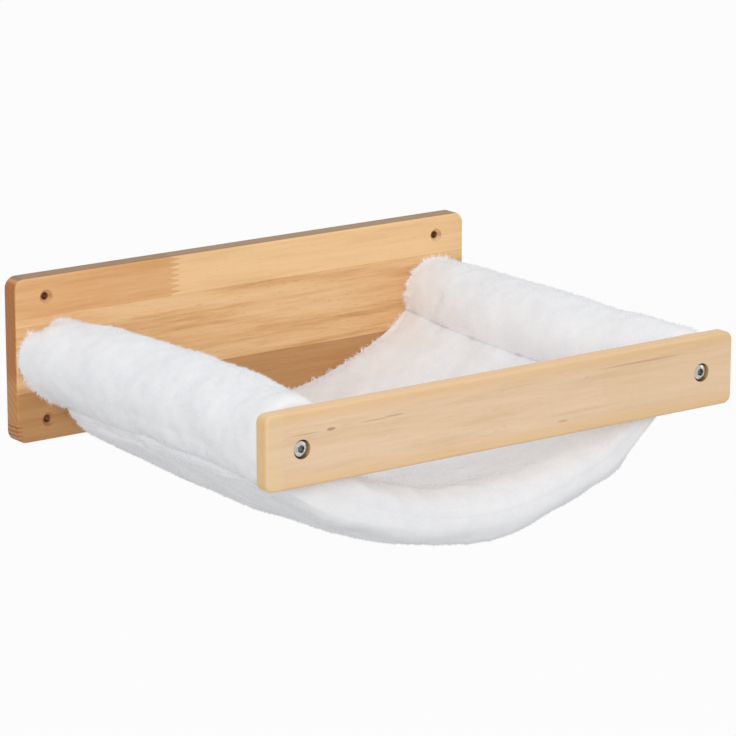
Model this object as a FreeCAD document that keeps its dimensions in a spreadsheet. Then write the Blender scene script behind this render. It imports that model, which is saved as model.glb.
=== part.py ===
"""Wall-mounted pet hammock: a wooden wall board and front rail, two rods bolted between them,
and a plush sling whose sleeves hang on the rods.

Frame: the origin is the centre of the wall board's back face, +X runs to the right as seen from
the room, +Y points into the wall and +Z points up. All lengths are in millimetres.
"""
import FreeCAD, Part
import Sketcher
import math
import os

VECTOR = FreeCAD.Vector

# Driving dimensions: name, value, what it measures
WOOD_SIZES = [
    ("frame_width", 420, "wall board and front rail, left to right"),
    ("board_height", 127, "wall board, bottom to top"),
    ("board_thickness", 15, "wall board, wall to front face"),
    ("board_corner_radius", 9, "wall board, rounded corners"),
    ("board_edge_radius", 2.5, "wall board, eased front edge"),
    ("board_back_ease", 0.8, "wall board, broken back edge"),
    ("rail_height", 55, "front rail, bottom to top"),
    ("rail_thickness", 13, "front rail, back to front face"),
    ("rail_corner_radius", 6.5, "front rail, rounded corners"),
    ("rail_edge_radius", 2.5, "front rail, eased front and back edges"),
    ("clear_span", 315, "wall board's front face to front rail's back face"),
    ("rod_inset", 30, "rod axes in from the ends of board and rail"),
    ("rod_rise", 2, "rod axes above the board's centre line"),
    ("rod_diameter", 22, "rods"),
    ("rod_end_chamfer", 1, "rods, broken end edge"),
    ("socket_depth", 3, "shallow sockets that take the rod ends"),
    ("socket_clearance", 0.1, "socket wall to rod, on the radius"),
]
FASTENER_SIZES = [
    ("bolt_diameter", 6, "bolt shanks"),
    ("bolt_length", 40, "under the head to the tip"),
    ("bolt_tip_chamfer", 0.8, "bolt tips"),
    ("bolt_hole_clearance", 0.25, "bolt hole wall to shank, on the radius"),
    ("bolt_tip_room", 4, "free hole past the bolt's tip"),
    ("head_diameter", 12.2, "button heads"),
    ("head_height", 3.8, "button heads"),
    ("head_dome_radius", 13, "button heads, radius of the dome"),
    ("hex_across_flats", 5, "key socket in the head"),
    ("hex_depth", 2.4, "key socket in the head"),
    ("cut_overrun", 1, "how far a cut runs past the face that it opens"),
    ("head_clearance", 0.8, "recess wall to head, on the radius"),
    ("front_counterbore_depth", 4, "recess in the rail"),
    ("rear_counterbore_depth", 5, "recess in the wall board's back face"),
    ("insert_diameter", 10, "threaded inserts in the rod ends"),
    ("insert_length", 20, "threaded inserts in the rod ends"),
    ("insert_chamfer", 0.8, "threaded inserts, outer end edges"),
    ("insert_clearance", 0.05, "insert to its hole in the rod, on the radius"),
    ("thread_clearance", 0.08, "insert's bore to bolt, on the radius"),
    ("wall_hole_inset_x", 27.5, "wall screw holes in from the board's ends"),
    ("wall_hole_inset_z", 16, "wall screw holes in from the board's top and bottom"),
    ("wall_hole_diameter", 5.5, "wall screw holes"),
    ("countersink_diameter", 11, "wall screw holes, at the front face"),
    ("countersink_angle", 90, "wall screw holes, in degrees"),
]
CLOTH_SIZES = [
    ("soft_gap", 0.4, "plush to what it lies against"),
    ("sleeve_clearance", 0.3, "sleeve's bore to rod, on the radius"),
    ("roll_radius_rear", 28.5, "plush roll at the wall board"),
    ("roll_radius_middle", 33, "plush roll half way"),
    ("roll_radius_front", 32, "plush roll at the rail"),
    ("roll_shift_rear", 0, "roll's middle inwards of the rod, at the wall board"),
    ("roll_shift_middle", 12.5, "roll's middle inwards of the rod, half way"),
    ("roll_shift_front", 3, "roll's middle inwards of the rod, at the rail"),
    ("seam_drop", 38, "sleeve seam below the rod axis"),
    ("seam_out", 7, "sleeve seam outwards of the rod axis"),
    ("flank_bulge", 2, "fullness of the flank between roll and seam"),
    ("right_tuck_rear", 0, "right seam pulled inwards, at the wall board"),
    ("right_tuck_middle", 4, "right seam pulled inwards, half way"),
    ("right_tuck_front", 15, "right seam pulled inwards, at the rail"),
    ("bowl_depth_rear", 62, "lying surface below the rod axes, at the rear lip"),
    ("bowl_depth_middle", 79, "lying surface below the rod axes, half way"),
    ("bowl_depth_front", 59, "lying surface below the rod axes, at the front lip"),
    ("sling_thickness_rear", 46, "lying surface to underside, at the rear lip"),
    ("sling_thickness_middle", 39, "lying surface to underside, half way"),
    ("sling_thickness_front", 42, "lying surface to underside, at the front lip"),
    ("low_shift", 8, "lowest line left of the middle"),
    ("lip_length", 20, "rounded lip, along the rods"),
    ("lip_drop", 15, "rounded lip, fall of each face at the sewn edge"),
    ("wadding_gap", 0.8, "wadding to each panel"),
]
# Angles on the roll's section, in degrees from inwards, counted upwards
ROLL_INNER_ANGLE = -25
ROLL_TOP_ANGLE = 90
ROLL_OUTER_ANGLE = 200
# How far the right seam rises, and its flank rounds out, for each millimetre that it is pulled inwards
TUCK_RISE = 0.35
TUCK_BULGE = 0.45
# Cross-sections of the sling between its lips, as shares of the way from rear lip to front lip
BODY_SECTION_SHARES = (0.0, 0.25, 0.5, 0.75, 1.0)
# Cross-sections through one lip, as shares of the lip's length from the sewn edge
LIP_SECTION_SHARES = (0.0, 0.12, 0.45)
# Each plush panel's share of the sling's thickness
PANEL_SHARE = 0.43
SIDES = {"left": -1, "right": 1}

doc = FreeCAD.newDocument("wall_hammock")
sheet = doc.addObject("Spreadsheet::Sheet", "Sizes")
for row, (alias, value, meaning) in enumerate(WOOD_SIZES + FASTENER_SIZES + CLOTH_SIZES, start=1):
    sheet.set("A%d" % row, meaning)
    sheet.set("B%d" % row, str(value))
    sheet.setAlias("B%d" % row, alias)
doc.recompute()

# Distances that several pieces share, as expressions on the sheet
RAIL_BACK = "(Sizes.board_thickness + Sizes.clear_span)"
ROD_REAR_END = "(Sizes.board_thickness - Sizes.socket_depth)"
ROD_LENGTH = "(Sizes.clear_span + 2 * Sizes.socket_depth)"
REAR_WEB = "(Sizes.board_thickness - Sizes.rear_counterbore_depth - Sizes.socket_depth)"
FRONT_WEB = "(Sizes.rail_thickness - Sizes.front_counterbore_depth - Sizes.socket_depth)"
ROD_OFFSET = "(Sizes.frame_width / 2 - Sizes.rod_inset)"
WALL_HOLE_OFFSET_X = "(Sizes.frame_width / 2 - Sizes.wall_hole_inset_x)"
WALL_HOLE_OFFSET_Z = "(Sizes.board_height / 2 - Sizes.wall_hole_inset_z)"


def size(alias):
    """The value of one driving dimension."""
    return float(sheet.get(alias))


def worked_out(expression):
    """An expression on the sheet as a number."""
    return float(sheet.evalExpression(expression.replace("Sizes.", "")))


def bind(thing, **expressions):
    """Ties properties of a document object to the sheet; two underscores stand for a dot."""
    for name, expression in expressions.items():
        thing.setExpression(name.replace("__", "."), expression)


def new_body(label, x="0", y="0", z="0"):
    """An empty body in its own place."""
    body = doc.addObject("PartDesign::Body", label)
    body.Label = label
    bind(body, Placement__Base__x=x, Placement__Base__y=y, Placement__Base__z=z)
    return body


def new_sketch(body, name, depth="0"):
    """A sketch parallel to the body's XZ plane, depth in front of it (towards -Y)."""
    sketch = body.newObject("Sketcher::SketchObject", body.Label + "_" + name)
    plane = next(item for item in body.Origin.OriginFeatures if item.Role == "XZ_Plane")
    sketch.AttachmentSupport = (plane, [""])
    sketch.MapMode = "FlatFace"
    bind(sketch, AttachmentOffset__Base__z=depth)
    return sketch


def constrain(sketch, expression, *constraint):
    """A sized constraint, tied to the sheet."""
    index = sketch.addConstraint(Sketcher.Constraint(*constraint, worked_out(expression)))
    sketch.setExpression("Constraints[%d]" % index, expression)


def sketch_rectangle(sketch, width, height):
    """A rectangle about the sketch's origin, sized by expressions."""
    half_width = worked_out(width) / 2
    half_height = worked_out(height) / 2
    corners = [VECTOR(x * half_width, y * half_height, 0) for x, y in ((-1, -1), (1, -1), (1, 1), (-1, 1))]
    for start, end in zip(corners, corners[1:] + corners[:1]):
        sketch.addGeometry(Part.LineSegment(start, end), False)
    for line in range(len(corners)):
        sketch.addConstraint(Sketcher.Constraint("Coincident", line, 2, (line + 1) % len(corners), 1))
        sketch.addConstraint(Sketcher.Constraint("Vertical" if line % 2 else "Horizontal", line))
    sketch.addConstraint(Sketcher.Constraint("Symmetric", 0, 1, 2, 1, -1, 1))
    constrain(sketch, width, "DistanceX", 0, 1, 0, 2)
    constrain(sketch, height, "DistanceY", 1, 1, 1, 2)


def sketch_circles(sketch, diameter, places=((0, 0),), unit_x="0", unit_y="0"):
    """Circles at whole numbers of two spacings from the sketch's origin, sized by expressions."""
    for steps_x, steps_y in places:
        centre = VECTOR(steps_x * worked_out(unit_x), steps_y * worked_out(unit_y), 0)
        outline = Part.Circle(centre, VECTOR(0, 0, 1), worked_out(diameter) / 2)
        circle = sketch.addGeometry(outline, False)
        constrain(sketch, diameter, "Diameter", circle)
        if steps_x:
            constrain(sketch, "%d * %s" % (steps_x, unit_x), "DistanceX", -1, 1, circle, 3)
        else:
            sketch.addConstraint(Sketcher.Constraint("PointOnObject", circle, 3, -2))
        if steps_y:
            constrain(sketch, "%d * %s" % (steps_y, unit_y), "DistanceY", -1, 1, circle, 3)
        else:
            sketch.addConstraint(Sketcher.Constraint("PointOnObject", circle, 3, -1))


def add_pad(body, sketch, length):
    """Pads a sketch towards -Y."""
    pad = body.newObject("PartDesign::Pad", sketch.Name + "_pad")
    pad.Profile = sketch
    bind(pad, Length=length)
    doc.recompute()
    return pad


def check_cut(body, volume_before, name):
    """A cut that points away from the solid removes nothing and shows no error."""
    if not body.Shape.Volume < volume_before:
        raise RuntimeError(name + " cuts nothing")


def add_pocket(body, sketch, depth, towards_front):
    """Cuts a sketch into the body, towards -Y or towards +Y."""
    volume_before = body.Shape.Volume
    pocket = body.newObject("PartDesign::Pocket", sketch.Name + "_pocket")
    pocket.Profile = sketch
    pocket.Reversed = towards_front
    bind(pocket, Length=depth)
    doc.recompute()
    check_cut(body, volume_before, sketch.Name)


def edge_names(feature, test):
    """Names of those of a feature's edges that pass a test."""
    return ["Edge%d" % number for number, edge in enumerate(feature.Shape.Edges, start=1) if test(edge)]


def add_dress_up(body, kind, base, edges, amount):
    """A fillet or a chamfer on named edges."""
    feature = body.newObject("PartDesign::" + kind, base.Name + "_" + kind.lower())
    feature.Base = (base, edges)
    bind(feature, **{"Radius" if kind == "Fillet" else "Size": amount})
    doc.recompute()
    return feature


def runs_in_depth(edge):
    """Whether an edge is a straight one along Y."""
    return edge.BoundBox.YLength > max(edge.BoundBox.XLength, edge.BoundBox.ZLength)


def rim_names(feature, depth):
    """Names of a feature's edges in the plane at one depth of its body."""
    y = -worked_out(depth)
    near = size("soft_gap") / 2
    return edge_names(feature, lambda edge: abs(edge.BoundBox.YMin - y) < near
                      and abs(edge.BoundBox.YMax - y) < near)


def make_slab(label, width, height, thickness, corner_radius, **place):
    """A rectangular board with rounded corners, its back face in the body's XZ plane."""
    body = new_body(label, **place)
    outline = new_sketch(body, "outline")
    sketch_rectangle(outline, width, height)
    pad = add_pad(body, outline, thickness)
    rounded = add_dress_up(body, "Fillet", pad, edge_names(pad, runs_in_depth), corner_radius)
    return body, rounded


def drill_for_rods(body, thickness, rise, counterbore_depth, sockets_in_front):
    """A rod socket on one face, a head recess on the other and a bolt hole through, for each rod."""
    places = ((-1, 1), (1, 1)) if rise else ((-1, 0), (1, 0))
    faces = {True: thickness, False: "0"}
    rows = (
        ("sockets", "Sizes.rod_diameter + 2 * Sizes.socket_clearance", "Sizes.socket_depth",
         sockets_in_front),
        ("recesses", "Sizes.head_diameter + 2 * Sizes.head_clearance", counterbore_depth,
         not sockets_in_front),
        ("bolt_holes", "Sizes.bolt_diameter + 2 * Sizes.bolt_hole_clearance", thickness, False),
    )
    for name, diameter, depth, in_front in rows:
        sketch = new_sketch(body, name, faces[in_front])
        sketch_circles(sketch, diameter, places, ROD_OFFSET, rise or "0")
        add_pocket(body, sketch, depth, towards_front=not in_front)


def make_wall_board():
    """Wall board: screw holes for the wall, head recesses behind, rod sockets in front."""
    body, block = make_slab("wall_board", "Sizes.frame_width", "Sizes.board_height", "Sizes.board_thickness",
                            "Sizes.board_corner_radius")
    front_rim = rim_names(block, "Sizes.board_thickness")
    eased = add_dress_up(body, "Fillet", block, front_rim, "Sizes.board_edge_radius")
    add_dress_up(body, "Chamfer", eased, rim_names(eased, "0"), "Sizes.board_back_ease")
    drill_for_rods(body, "Sizes.board_thickness", "Sizes.rod_rise", "Sizes.rear_counterbore_depth", True)
    screws = new_sketch(body, "screw_holes", "Sizes.board_thickness")
    sketch_circles(screws, "Sizes.wall_hole_diameter", ((-1, -1), (1, -1), (1, 1), (-1, 1)),
                   WALL_HOLE_OFFSET_X, WALL_HOLE_OFFSET_Z)
    doc.recompute()
    volume_before = body.Shape.Volume
    hole = body.newObject("PartDesign::Hole", "wall_board_countersinks")
    hole.Profile = screws
    hole.Threaded = False
    hole.DepthType = "ThroughAll"
    hole.HoleCutType = "Countersink"
    bind(hole, Diameter="Sizes.wall_hole_diameter", HoleCutDiameter="Sizes.countersink_diameter",
         HoleCutCountersinkAngle="Sizes.countersink_angle")
    doc.recompute()
    check_cut(body, volume_before, hole.Name)
    return body


def make_front_rail():
    """Front rail: rod sockets behind, head recesses in front."""
    body, block = make_slab("front_rail", "Sizes.frame_width", "Sizes.rail_height", "Sizes.rail_thickness",
                            "Sizes.rail_corner_radius", y="-" + RAIL_BACK, z="Sizes.rod_rise")
    rims = [name for depth in ("Sizes.rail_thickness", "0") for name in rim_names(block, depth)]
    add_dress_up(body, "Fillet", block, rims, "Sizes.rail_edge_radius")
    drill_for_rods(body, "Sizes.rail_thickness", None, "Sizes.front_counterbore_depth", False)
    return body


def make_rod(side_name, side):
    """A round rod, drilled at both ends for a threaded insert and the bolt's tip."""
    body = new_body(side_name + "_rod", "%d * %s" % (side, ROD_OFFSET), "-" + ROD_REAR_END, "Sizes.rod_rise")
    outline = new_sketch(body, "outline")
    sketch_circles(outline, "Sizes.rod_diameter")
    pad = add_pad(body, outline, ROD_LENGTH)
    rims = [name for depth in ("0", ROD_LENGTH) for name in rim_names(pad, depth)]
    add_dress_up(body, "Chamfer", pad, rims, "Sizes.rod_end_chamfer")
    ends = (("rear", "0", REAR_WEB, True), ("front", ROD_LENGTH, FRONT_WEB, False))
    for end, depth, web, towards_front in ends:
        insert_hole = new_sketch(body, end + "_insert_hole", depth)
        sketch_circles(insert_hole, "Sizes.insert_diameter + 2 * Sizes.insert_clearance")
        add_pocket(body, insert_hole, "Sizes.insert_length", towards_front)
        bolt_hole = new_sketch(body, end + "_bolt_hole", depth)
        sketch_circles(bolt_hole, "Sizes.bolt_diameter + 2 * Sizes.bolt_hole_clearance")
        add_pocket(body, bolt_hole, "Sizes.bolt_length - %s + Sizes.bolt_tip_room" % web, towards_front)
    return body


def make_insert(label, side, rear_end):
    """A threaded insert, flush with the rod's end; its thread is a plain bore."""
    body = new_body(label, "%d * %s" % (side, ROD_OFFSET), "-" + rear_end, "Sizes.rod_rise")
    ring = new_sketch(body, "ring")
    sketch_circles(ring, "Sizes.insert_diameter")
    sketch_circles(ring, "Sizes.bolt_diameter + 2 * Sizes.thread_clearance")
    pad = add_pad(body, ring, "Sizes.insert_length")
    bore_edge = size("bolt_diameter") / 2 + size("thread_clearance")
    outer = edge_names(pad, lambda edge: hasattr(edge.Curve, "Radius") and edge.Curve.Radius - bore_edge
                       > size("thread_clearance"))
    add_dress_up(body, "Chamfer", pad, outer, "Sizes.insert_chamfer")
    return body


def add_primitive(kind, name, z="0", **expressions):
    """A Part primitive on the local Z axis."""
    thing = doc.addObject("Part::" + kind, name)
    bind(thing, Placement__Base__z=z, **expressions)
    return thing


def make_bolt(label, side, under_head, heads_front):
    """A button-head bolt; local Z runs out of the head, and z = 0 is under the head."""
    disc = add_primitive("Cylinder", label + "_disc", Radius="Sizes.head_diameter / 2",
                         Height="Sizes.head_height")
    dome = add_primitive("Sphere", label + "_dome", "Sizes.head_height - Sizes.head_dome_radius",
                         Radius="Sizes.head_dome_radius")
    head = doc.addObject("Part::Common", label + "_head")
    head.Base = disc
    head.Tool = dome
    shank = add_primitive("Cylinder", label + "_shank", "Sizes.bolt_tip_chamfer - Sizes.bolt_length",
                          Radius="Sizes.bolt_diameter / 2",
                          Height="Sizes.bolt_length - Sizes.bolt_tip_chamfer")
    tip = add_primitive("Cone", label + "_tip", "-Sizes.bolt_length",
                        Radius1="Sizes.bolt_diameter / 2 - Sizes.bolt_tip_chamfer",
                        Radius2="Sizes.bolt_diameter / 2", Height="Sizes.bolt_tip_chamfer")
    blank = doc.addObject("Part::MultiFuse", label + "_blank")
    blank.Shapes = [head, shank, tip]
    key = add_primitive("Prism", label + "_key", "Sizes.head_height - Sizes.hex_depth",
                        Circumradius="Sizes.hex_across_flats / sqrt(3)",
                        Height="Sizes.hex_depth + Sizes.cut_overrun")
    key.Polygon = 6
    bolt = doc.addObject("Part::Cut", label)
    bolt.Base = blank
    bolt.Tool = key
    bolt.Label = label
    quarter_turn = 90 if heads_front else -90
    bolt.Placement = FreeCAD.Placement(VECTOR(0, 0, 0), FreeCAD.Rotation(VECTOR(1, 0, 0), quarter_turn))
    bind(bolt, Placement__Base__x="%d * %s" % (side, ROD_OFFSET), Placement__Base__y="-" + under_head,
         Placement__Base__z="Sizes.rod_rise")
    return bolt


def along(name, share):
    """A cloth size part way from the wall board to the rail: a parabola through its three values."""
    rear, middle, front = (size(name + place) for place in ("_rear", "_middle", "_front"))
    return (rear * (1 - share) * (1 - 2 * share) + middle * 4 * share * (1 - share)
            + front * share * (2 * share - 1))


def cloth_length():
    """The sling's length along the rods, clear of the wood at both ends."""
    return size("clear_span") - 2 * size("soft_gap")


def depth_at(place):
    """Y of a place on the sling, counted from its rear edge."""
    return -(size("board_thickness") + size("soft_gap") + place)


def roll_outline(side, share):
    """Corners of a sleeve's section in X and Z: outer, top, inner and seam, with the arcs' middles."""
    radius = along("roll_radius", share)
    middle_x = side * (worked_out(ROD_OFFSET) - along("roll_shift", share))

    def on_roll(angle):
        turn = math.radians(angle)
        return (middle_x - side * radius * math.cos(turn), size("rod_rise") + radius * math.sin(turn))

    tuck = along("right_tuck", share) if side > 0 else 0
    seam = (side * (worked_out(ROD_OFFSET) + size("seam_out") - tuck),
            size("rod_rise") - size("seam_drop") + TUCK_RISE * tuck)
    outer = on_roll(ROLL_OUTER_ANGLE)
    bulge = size("flank_bulge") + TUCK_BULGE * tuck
    flank = ((outer[0] + seam[0]) / 2 + side * bulge, (outer[1] + seam[1]) / 2)
    return {
        "outer": outer,
        "shoulder": on_roll((ROLL_OUTER_ANGLE + ROLL_TOP_ANGLE) / 2),
        "top": on_roll(ROLL_TOP_ANGLE),
        "brow": on_roll((ROLL_TOP_ANGLE + ROLL_INNER_ANGLE) / 2),
        "inner": on_roll(ROLL_INNER_ANGLE),
        "seam": seam,
        "flank": flank,
    }


def make_sleeve(side_name, side):
    """A plush sleeve: a roll round the rod that runs down to the seam on its outer flank."""
    wires = []
    for share in BODY_SECTION_SHARES:
        y = depth_at(share * cloth_length())
        point = {name: VECTOR(x, y, z) for name, (x, z) in roll_outline(side, share).items()}
        wires.append(Part.Wire([
            Part.Arc(point["outer"], point["shoulder"], point["top"]).toShape(),
            Part.Arc(point["top"], point["brow"], point["inner"]).toShape(),
            Part.LineSegment(point["inner"], point["seam"]).toShape(),
            Part.Arc(point["seam"], point["flank"], point["outer"]).toShape(),
        ]))
    roll = Part.makeLoft(wires, True, False)
    bore_radius = size("rod_diameter") / 2 + size("sleeve_clearance")
    bore_start = VECTOR(side * worked_out(ROD_OFFSET), 0, size("rod_rise"))
    bore = Part.makeCylinder(bore_radius, worked_out(RAIL_BACK), bore_start, VECTOR(0, -1, 0))
    sleeve = doc.addObject("Part::Feature", side_name + "_sleeve")
    sleeve.Label = side_name + "_sleeve"
    sleeve.Shape = roll.cut(bore)
    return sleeve


def sleeve_side(side, share, way_down):
    """A point on the lower side of a sleeve, clear of it by the soft gap."""
    outline = roll_outline(side, share)
    start = VECTOR(outline["inner"][0], 0, outline["inner"][1])
    run = VECTOR(outline["seam"][0], 0, outline["seam"][1]) - start
    away = VECTOR(side * run.z, 0, -side * run.x).normalize()
    return start + run * way_down + away * size("soft_gap")


def sag_arc(end, low):
    """An arc from a sleeve down to the lowest point, level where it ends; end and low share one y."""
    run = end.x - low.x
    rise = end.z - low.z
    radius = (run * run + rise * rise) / (2 * rise)
    half_turn = math.asin(abs(run) / radius) / 2
    middle = VECTOR(low.x + math.copysign(radius * math.sin(half_turn), run), low.y,
                    low.z + radius * (1 - math.cos(half_turn)))
    return Part.Arc(end, middle, low).toShape()


def layer_wire(place, upper_way, lower_way):
    """The section of one layer of the sling; the ways run from its lying surface, 0, to its underside, 1."""
    length = cloth_length()
    share = place / length
    lip = min(place, length - place) / size("lip_length")
    fall = size("lip_drop") * (1 - math.sqrt(1 - (1 - min(lip, 1)) ** 2))
    highest = size("rod_rise") - along("bowl_depth", share) - fall
    lowest = highest - along("sling_thickness", share) + 2 * fall
    edges = []
    corners = []
    for way in (upper_way, lower_way):
        low = VECTOR(-size("low_shift"), depth_at(place), highest + (lowest - highest) * way)
        ends = [sleeve_side(side, share, way) + VECTOR(0, low.y, 0) for side in (-1, 1)]
        edges.append([sag_arc(end, low) for end in ends])
        corners.append(ends)
    (upper_left, upper_right), (lower_left, lower_right) = edges
    right_end = Part.LineSegment(corners[0][1], corners[1][1]).toShape()
    left_end = Part.LineSegment(corners[1][0], corners[0][0]).toShape()
    return Part.Wire([upper_left, upper_right, right_end, lower_right, lower_left, left_end])


def core_way(place):
    """Half of the space between the two panels, as a share of the thickness: none at the sewn edges."""
    lip = min(place, cloth_length() - place) / size("lip_length")
    closed = size("soft_gap") / (size("sling_thickness_front") - 2 * size("lip_drop"))
    full = 1 / 2 - PANEL_SHARE
    return closed + (full - closed) * min(lip, 1) ** 2


def sling_places(with_lips):
    """Places of the cross-sections, counted from the sling's rear edge."""
    length = cloth_length()
    lip = size("lip_length")
    body = [lip + share * (length - 2 * lip) for share in BODY_SECTION_SHARES]
    rear = [share * lip for share in LIP_SECTION_SHARES]
    front = [length - place for place in reversed(rear)]
    return rear + body + front if with_lips else body


def make_layer(label, with_lips, ways):
    """One layer of the sling, lofted from the wall board to the rail."""
    layer = doc.addObject("Part::Feature", label)
    layer.Label = label
    wires = [layer_wire(place, *ways(place)) for place in sling_places(with_lips)]
    layer.Shape = Part.makeLoft(wires, True, False)
    return layer


def wadding_way(place):
    """Half of the wadding, as a share of the sling's thickness."""
    return core_way(place) - size("wadding_gap") / along("sling_thickness", place / cloth_length())


def make_sling():
    """The sling between the sleeves: a plush panel above, one below and wadding between them."""
    return [
        make_layer("sling_top_panel", True, lambda place: (0, 1 / 2 - core_way(place))),
        make_layer("sling_wadding", False,
                   lambda place: (1 / 2 - wadding_way(place), 1 / 2 + wadding_way(place))),
        make_layer("sling_base_panel", True, lambda place: (1 / 2 + core_way(place), 1)),
    ]


def make_fastenings(side_name, side):
    """The four bolts and inserts of one rod's two ends, two of each."""
    front_end = "(%s + Sizes.socket_depth - Sizes.insert_length)" % RAIL_BACK
    front_head = "(%s + Sizes.rail_thickness - Sizes.front_counterbore_depth)" % RAIL_BACK
    return [
        make_insert("rear_%s_insert" % side_name, side, ROD_REAR_END),
        make_insert("front_%s_insert" % side_name, side, front_end),
        make_bolt("rear_%s_bolt" % side_name, side, "Sizes.rear_counterbore_depth", False),
        make_bolt("front_%s_bolt" % side_name, side, front_head, True),
    ]


def check_and_write(pieces):
    """Stops at anything that failed, then writes one STEP file for each piece."""
    doc.recompute()
    for thing in doc.Objects:
        if "Invalid" in thing.State or "Error" in thing.State:
            raise RuntimeError("%s failed: %s" % (thing.Label, thing.State))
    for piece in pieces:
        if piece.Shape.isNull() or not piece.Shape.isValid():
            raise RuntimeError(piece.Label + " has no valid shape")
    os.makedirs("parts", exist_ok=True)
    for piece in pieces:
        piece.Shape.exportStep("parts/%s.step" % piece.Label)
        print("%-20s %2d solid, %9.1f mm3" % (piece.Label, len(piece.Shape.Solids), piece.Shape.Volume))


pieces = [make_wall_board(), make_front_rail()]
for side_name, side in SIDES.items():
    pieces.append(make_rod(side_name, side))
    pieces.extend(make_fastenings(side_name, side))
    pieces.append(make_sleeve(side_name, side))
pieces.extend(make_sling())
check_and_write(pieces)
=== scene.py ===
# %% [markdown]
# A wall hammock in wood and plush
#
# The real hammock is a wooden board on the wall, a rail in front of it and two round rods between them. A
# padded plush sling hangs on the rods in two sewn sleeves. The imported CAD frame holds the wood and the
# fittings at their true sizes, so this script only gives them their finish. It builds the plush anew,
# because soft goods need a surface that no CAD solid has. Everything is in metres, in the frame of the CAD
# model.

# %% Load the frame
import math
import bmesh
import bpy
import numpy as np
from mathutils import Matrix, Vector


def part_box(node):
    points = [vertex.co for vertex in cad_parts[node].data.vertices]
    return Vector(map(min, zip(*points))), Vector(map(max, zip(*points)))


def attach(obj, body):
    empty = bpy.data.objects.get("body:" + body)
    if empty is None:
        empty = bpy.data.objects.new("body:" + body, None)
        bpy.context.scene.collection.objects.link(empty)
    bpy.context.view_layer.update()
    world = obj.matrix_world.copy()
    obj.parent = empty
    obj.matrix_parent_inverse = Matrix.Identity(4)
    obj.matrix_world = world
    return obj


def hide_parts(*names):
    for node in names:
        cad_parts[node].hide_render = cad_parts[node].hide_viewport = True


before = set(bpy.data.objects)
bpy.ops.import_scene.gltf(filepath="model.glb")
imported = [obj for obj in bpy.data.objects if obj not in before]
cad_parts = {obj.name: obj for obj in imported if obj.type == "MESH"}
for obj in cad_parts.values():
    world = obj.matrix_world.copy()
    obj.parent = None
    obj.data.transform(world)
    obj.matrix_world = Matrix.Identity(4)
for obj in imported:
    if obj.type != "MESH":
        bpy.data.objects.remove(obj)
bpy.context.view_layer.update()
scene = bpy.context.scene
MM = 0.001

# %% [markdown]
# The camera
#
# The photograph looks at the hammock from the left and a little from above. A camera could be set by eye,
# but the edges of the board and the rail fix it: their known sizes give the place, the two angles and the
# lens. A long lens from nearly three metres away keeps the rail and the board almost parallel, as in the
# picture.

# %% Set the camera
CAMERA_PLACE = (-1.63008, -2.40704, 0.70159)
CAMERA_YAW = math.radians(36.1137)
CAMERA_PITCH = math.radians(14.2837)
CAMERA_LENS = 187.26

camera = bpy.data.objects.new("camera", bpy.data.cameras.new("camera"))
camera.data.sensor_width = 36
camera.data.lens = CAMERA_LENS
look = Vector((math.sin(CAMERA_YAW) * math.cos(CAMERA_PITCH), math.cos(CAMERA_YAW) * math.cos(CAMERA_PITCH),
               -math.sin(CAMERA_PITCH)))
camera.location = CAMERA_PLACE
camera.rotation_euler = look.to_track_quat("-Z", "Y").to_euler()
scene.collection.objects.link(camera)
scene.camera = camera
scene.view_settings.view_transform = "Standard"
print("camera looks along", [round(part, 3) for part in look])

# %% [markdown]
# Shader nodes in few words
#
# Each finish below is a small tree of nodes. Adding and linking nodes one by one takes many lines, so these
# helpers add a node with its settings and inputs in one call, and return the socket that carries its
# result.

# %% Add nodes
def add_node(tree, kind, inputs=None, **settings):
    """Adds a shader node; an input is a number, a colour or a socket to link."""
    made = tree.nodes.new("ShaderNode" + kind)
    for name, value in settings.items():
        setattr(made, name, value)
    for name, value in (inputs or {}).items():
        if isinstance(value, bpy.types.NodeSocket):
            tree.links.new(value, made.inputs[name])
        else:
            made.inputs[name].default_value = value
    return made


def calculate(tree, operation, first, second=0.0):
    """One sum on sockets or numbers."""
    return add_node(tree, "Math", {0: first, 1: second}, operation=operation).outputs[0]


def scaled(tree, value, share):
    """A share of a value."""
    return calculate(tree, "MULTIPLY", value, share)


def mixture(tree, first, first_share, second, second_share):
    """The sum of two values, each with its share."""
    return calculate(tree, "ADD", scaled(tree, first, first_share), scaled(tree, second, second_share))


print("helpers for nodes and sums ready")

# %% [markdown]
# Colours and how they meet
#
# Wood, steel and fleece are never one flat colour. Their tones could be painted on a picture, but a picture
# needs a map of the surface, and it blurs from close by. Here a value that varies over the piece picks a
# colour from a ramp, or mixes two colours where a mark begins and ends. Colours are written as they look in
# a picture, and turned into the linear numbers that a shader works with.

# %% Mix colours
def ramp(tree, factor, stops):
    """A colour ramp; stops are pairs of a place from 0 to 1 and a colour."""
    made = add_node(tree, "ValToRGB", {"Fac": factor})
    elements = made.color_ramp.elements
    while len(elements) < len(stops):
        elements.new(0.5)
    for element, (place, colour) in zip(elements, stops):
        element.position = place
        element.color = (*colour, 1)
    return made.outputs["Color"]


def fade(tree, value, low, high):
    """Runs from 0 at the value low to 1 at the value high, with soft ends; low may be the larger one."""
    return add_node(tree, "MapRange", {"Value": value, "From Min": low, "From Max": high},
                    interpolation_type="SMOOTHSTEP").outputs["Result"]


def tint(tree, factor, base, other):
    """Mixes two colours by a factor."""
    made = add_node(tree, "Mix", data_type="RGBA")
    for socket, value in ((made.inputs[0], factor), (made.inputs[6], base), (made.inputs[7], other)):
        if isinstance(value, bpy.types.NodeSocket):
            tree.links.new(value, socket)
        elif isinstance(value, tuple):
            socket.default_value = (*value, 1)
        else:
            socket.default_value = value
    return made.outputs[2]


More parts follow.
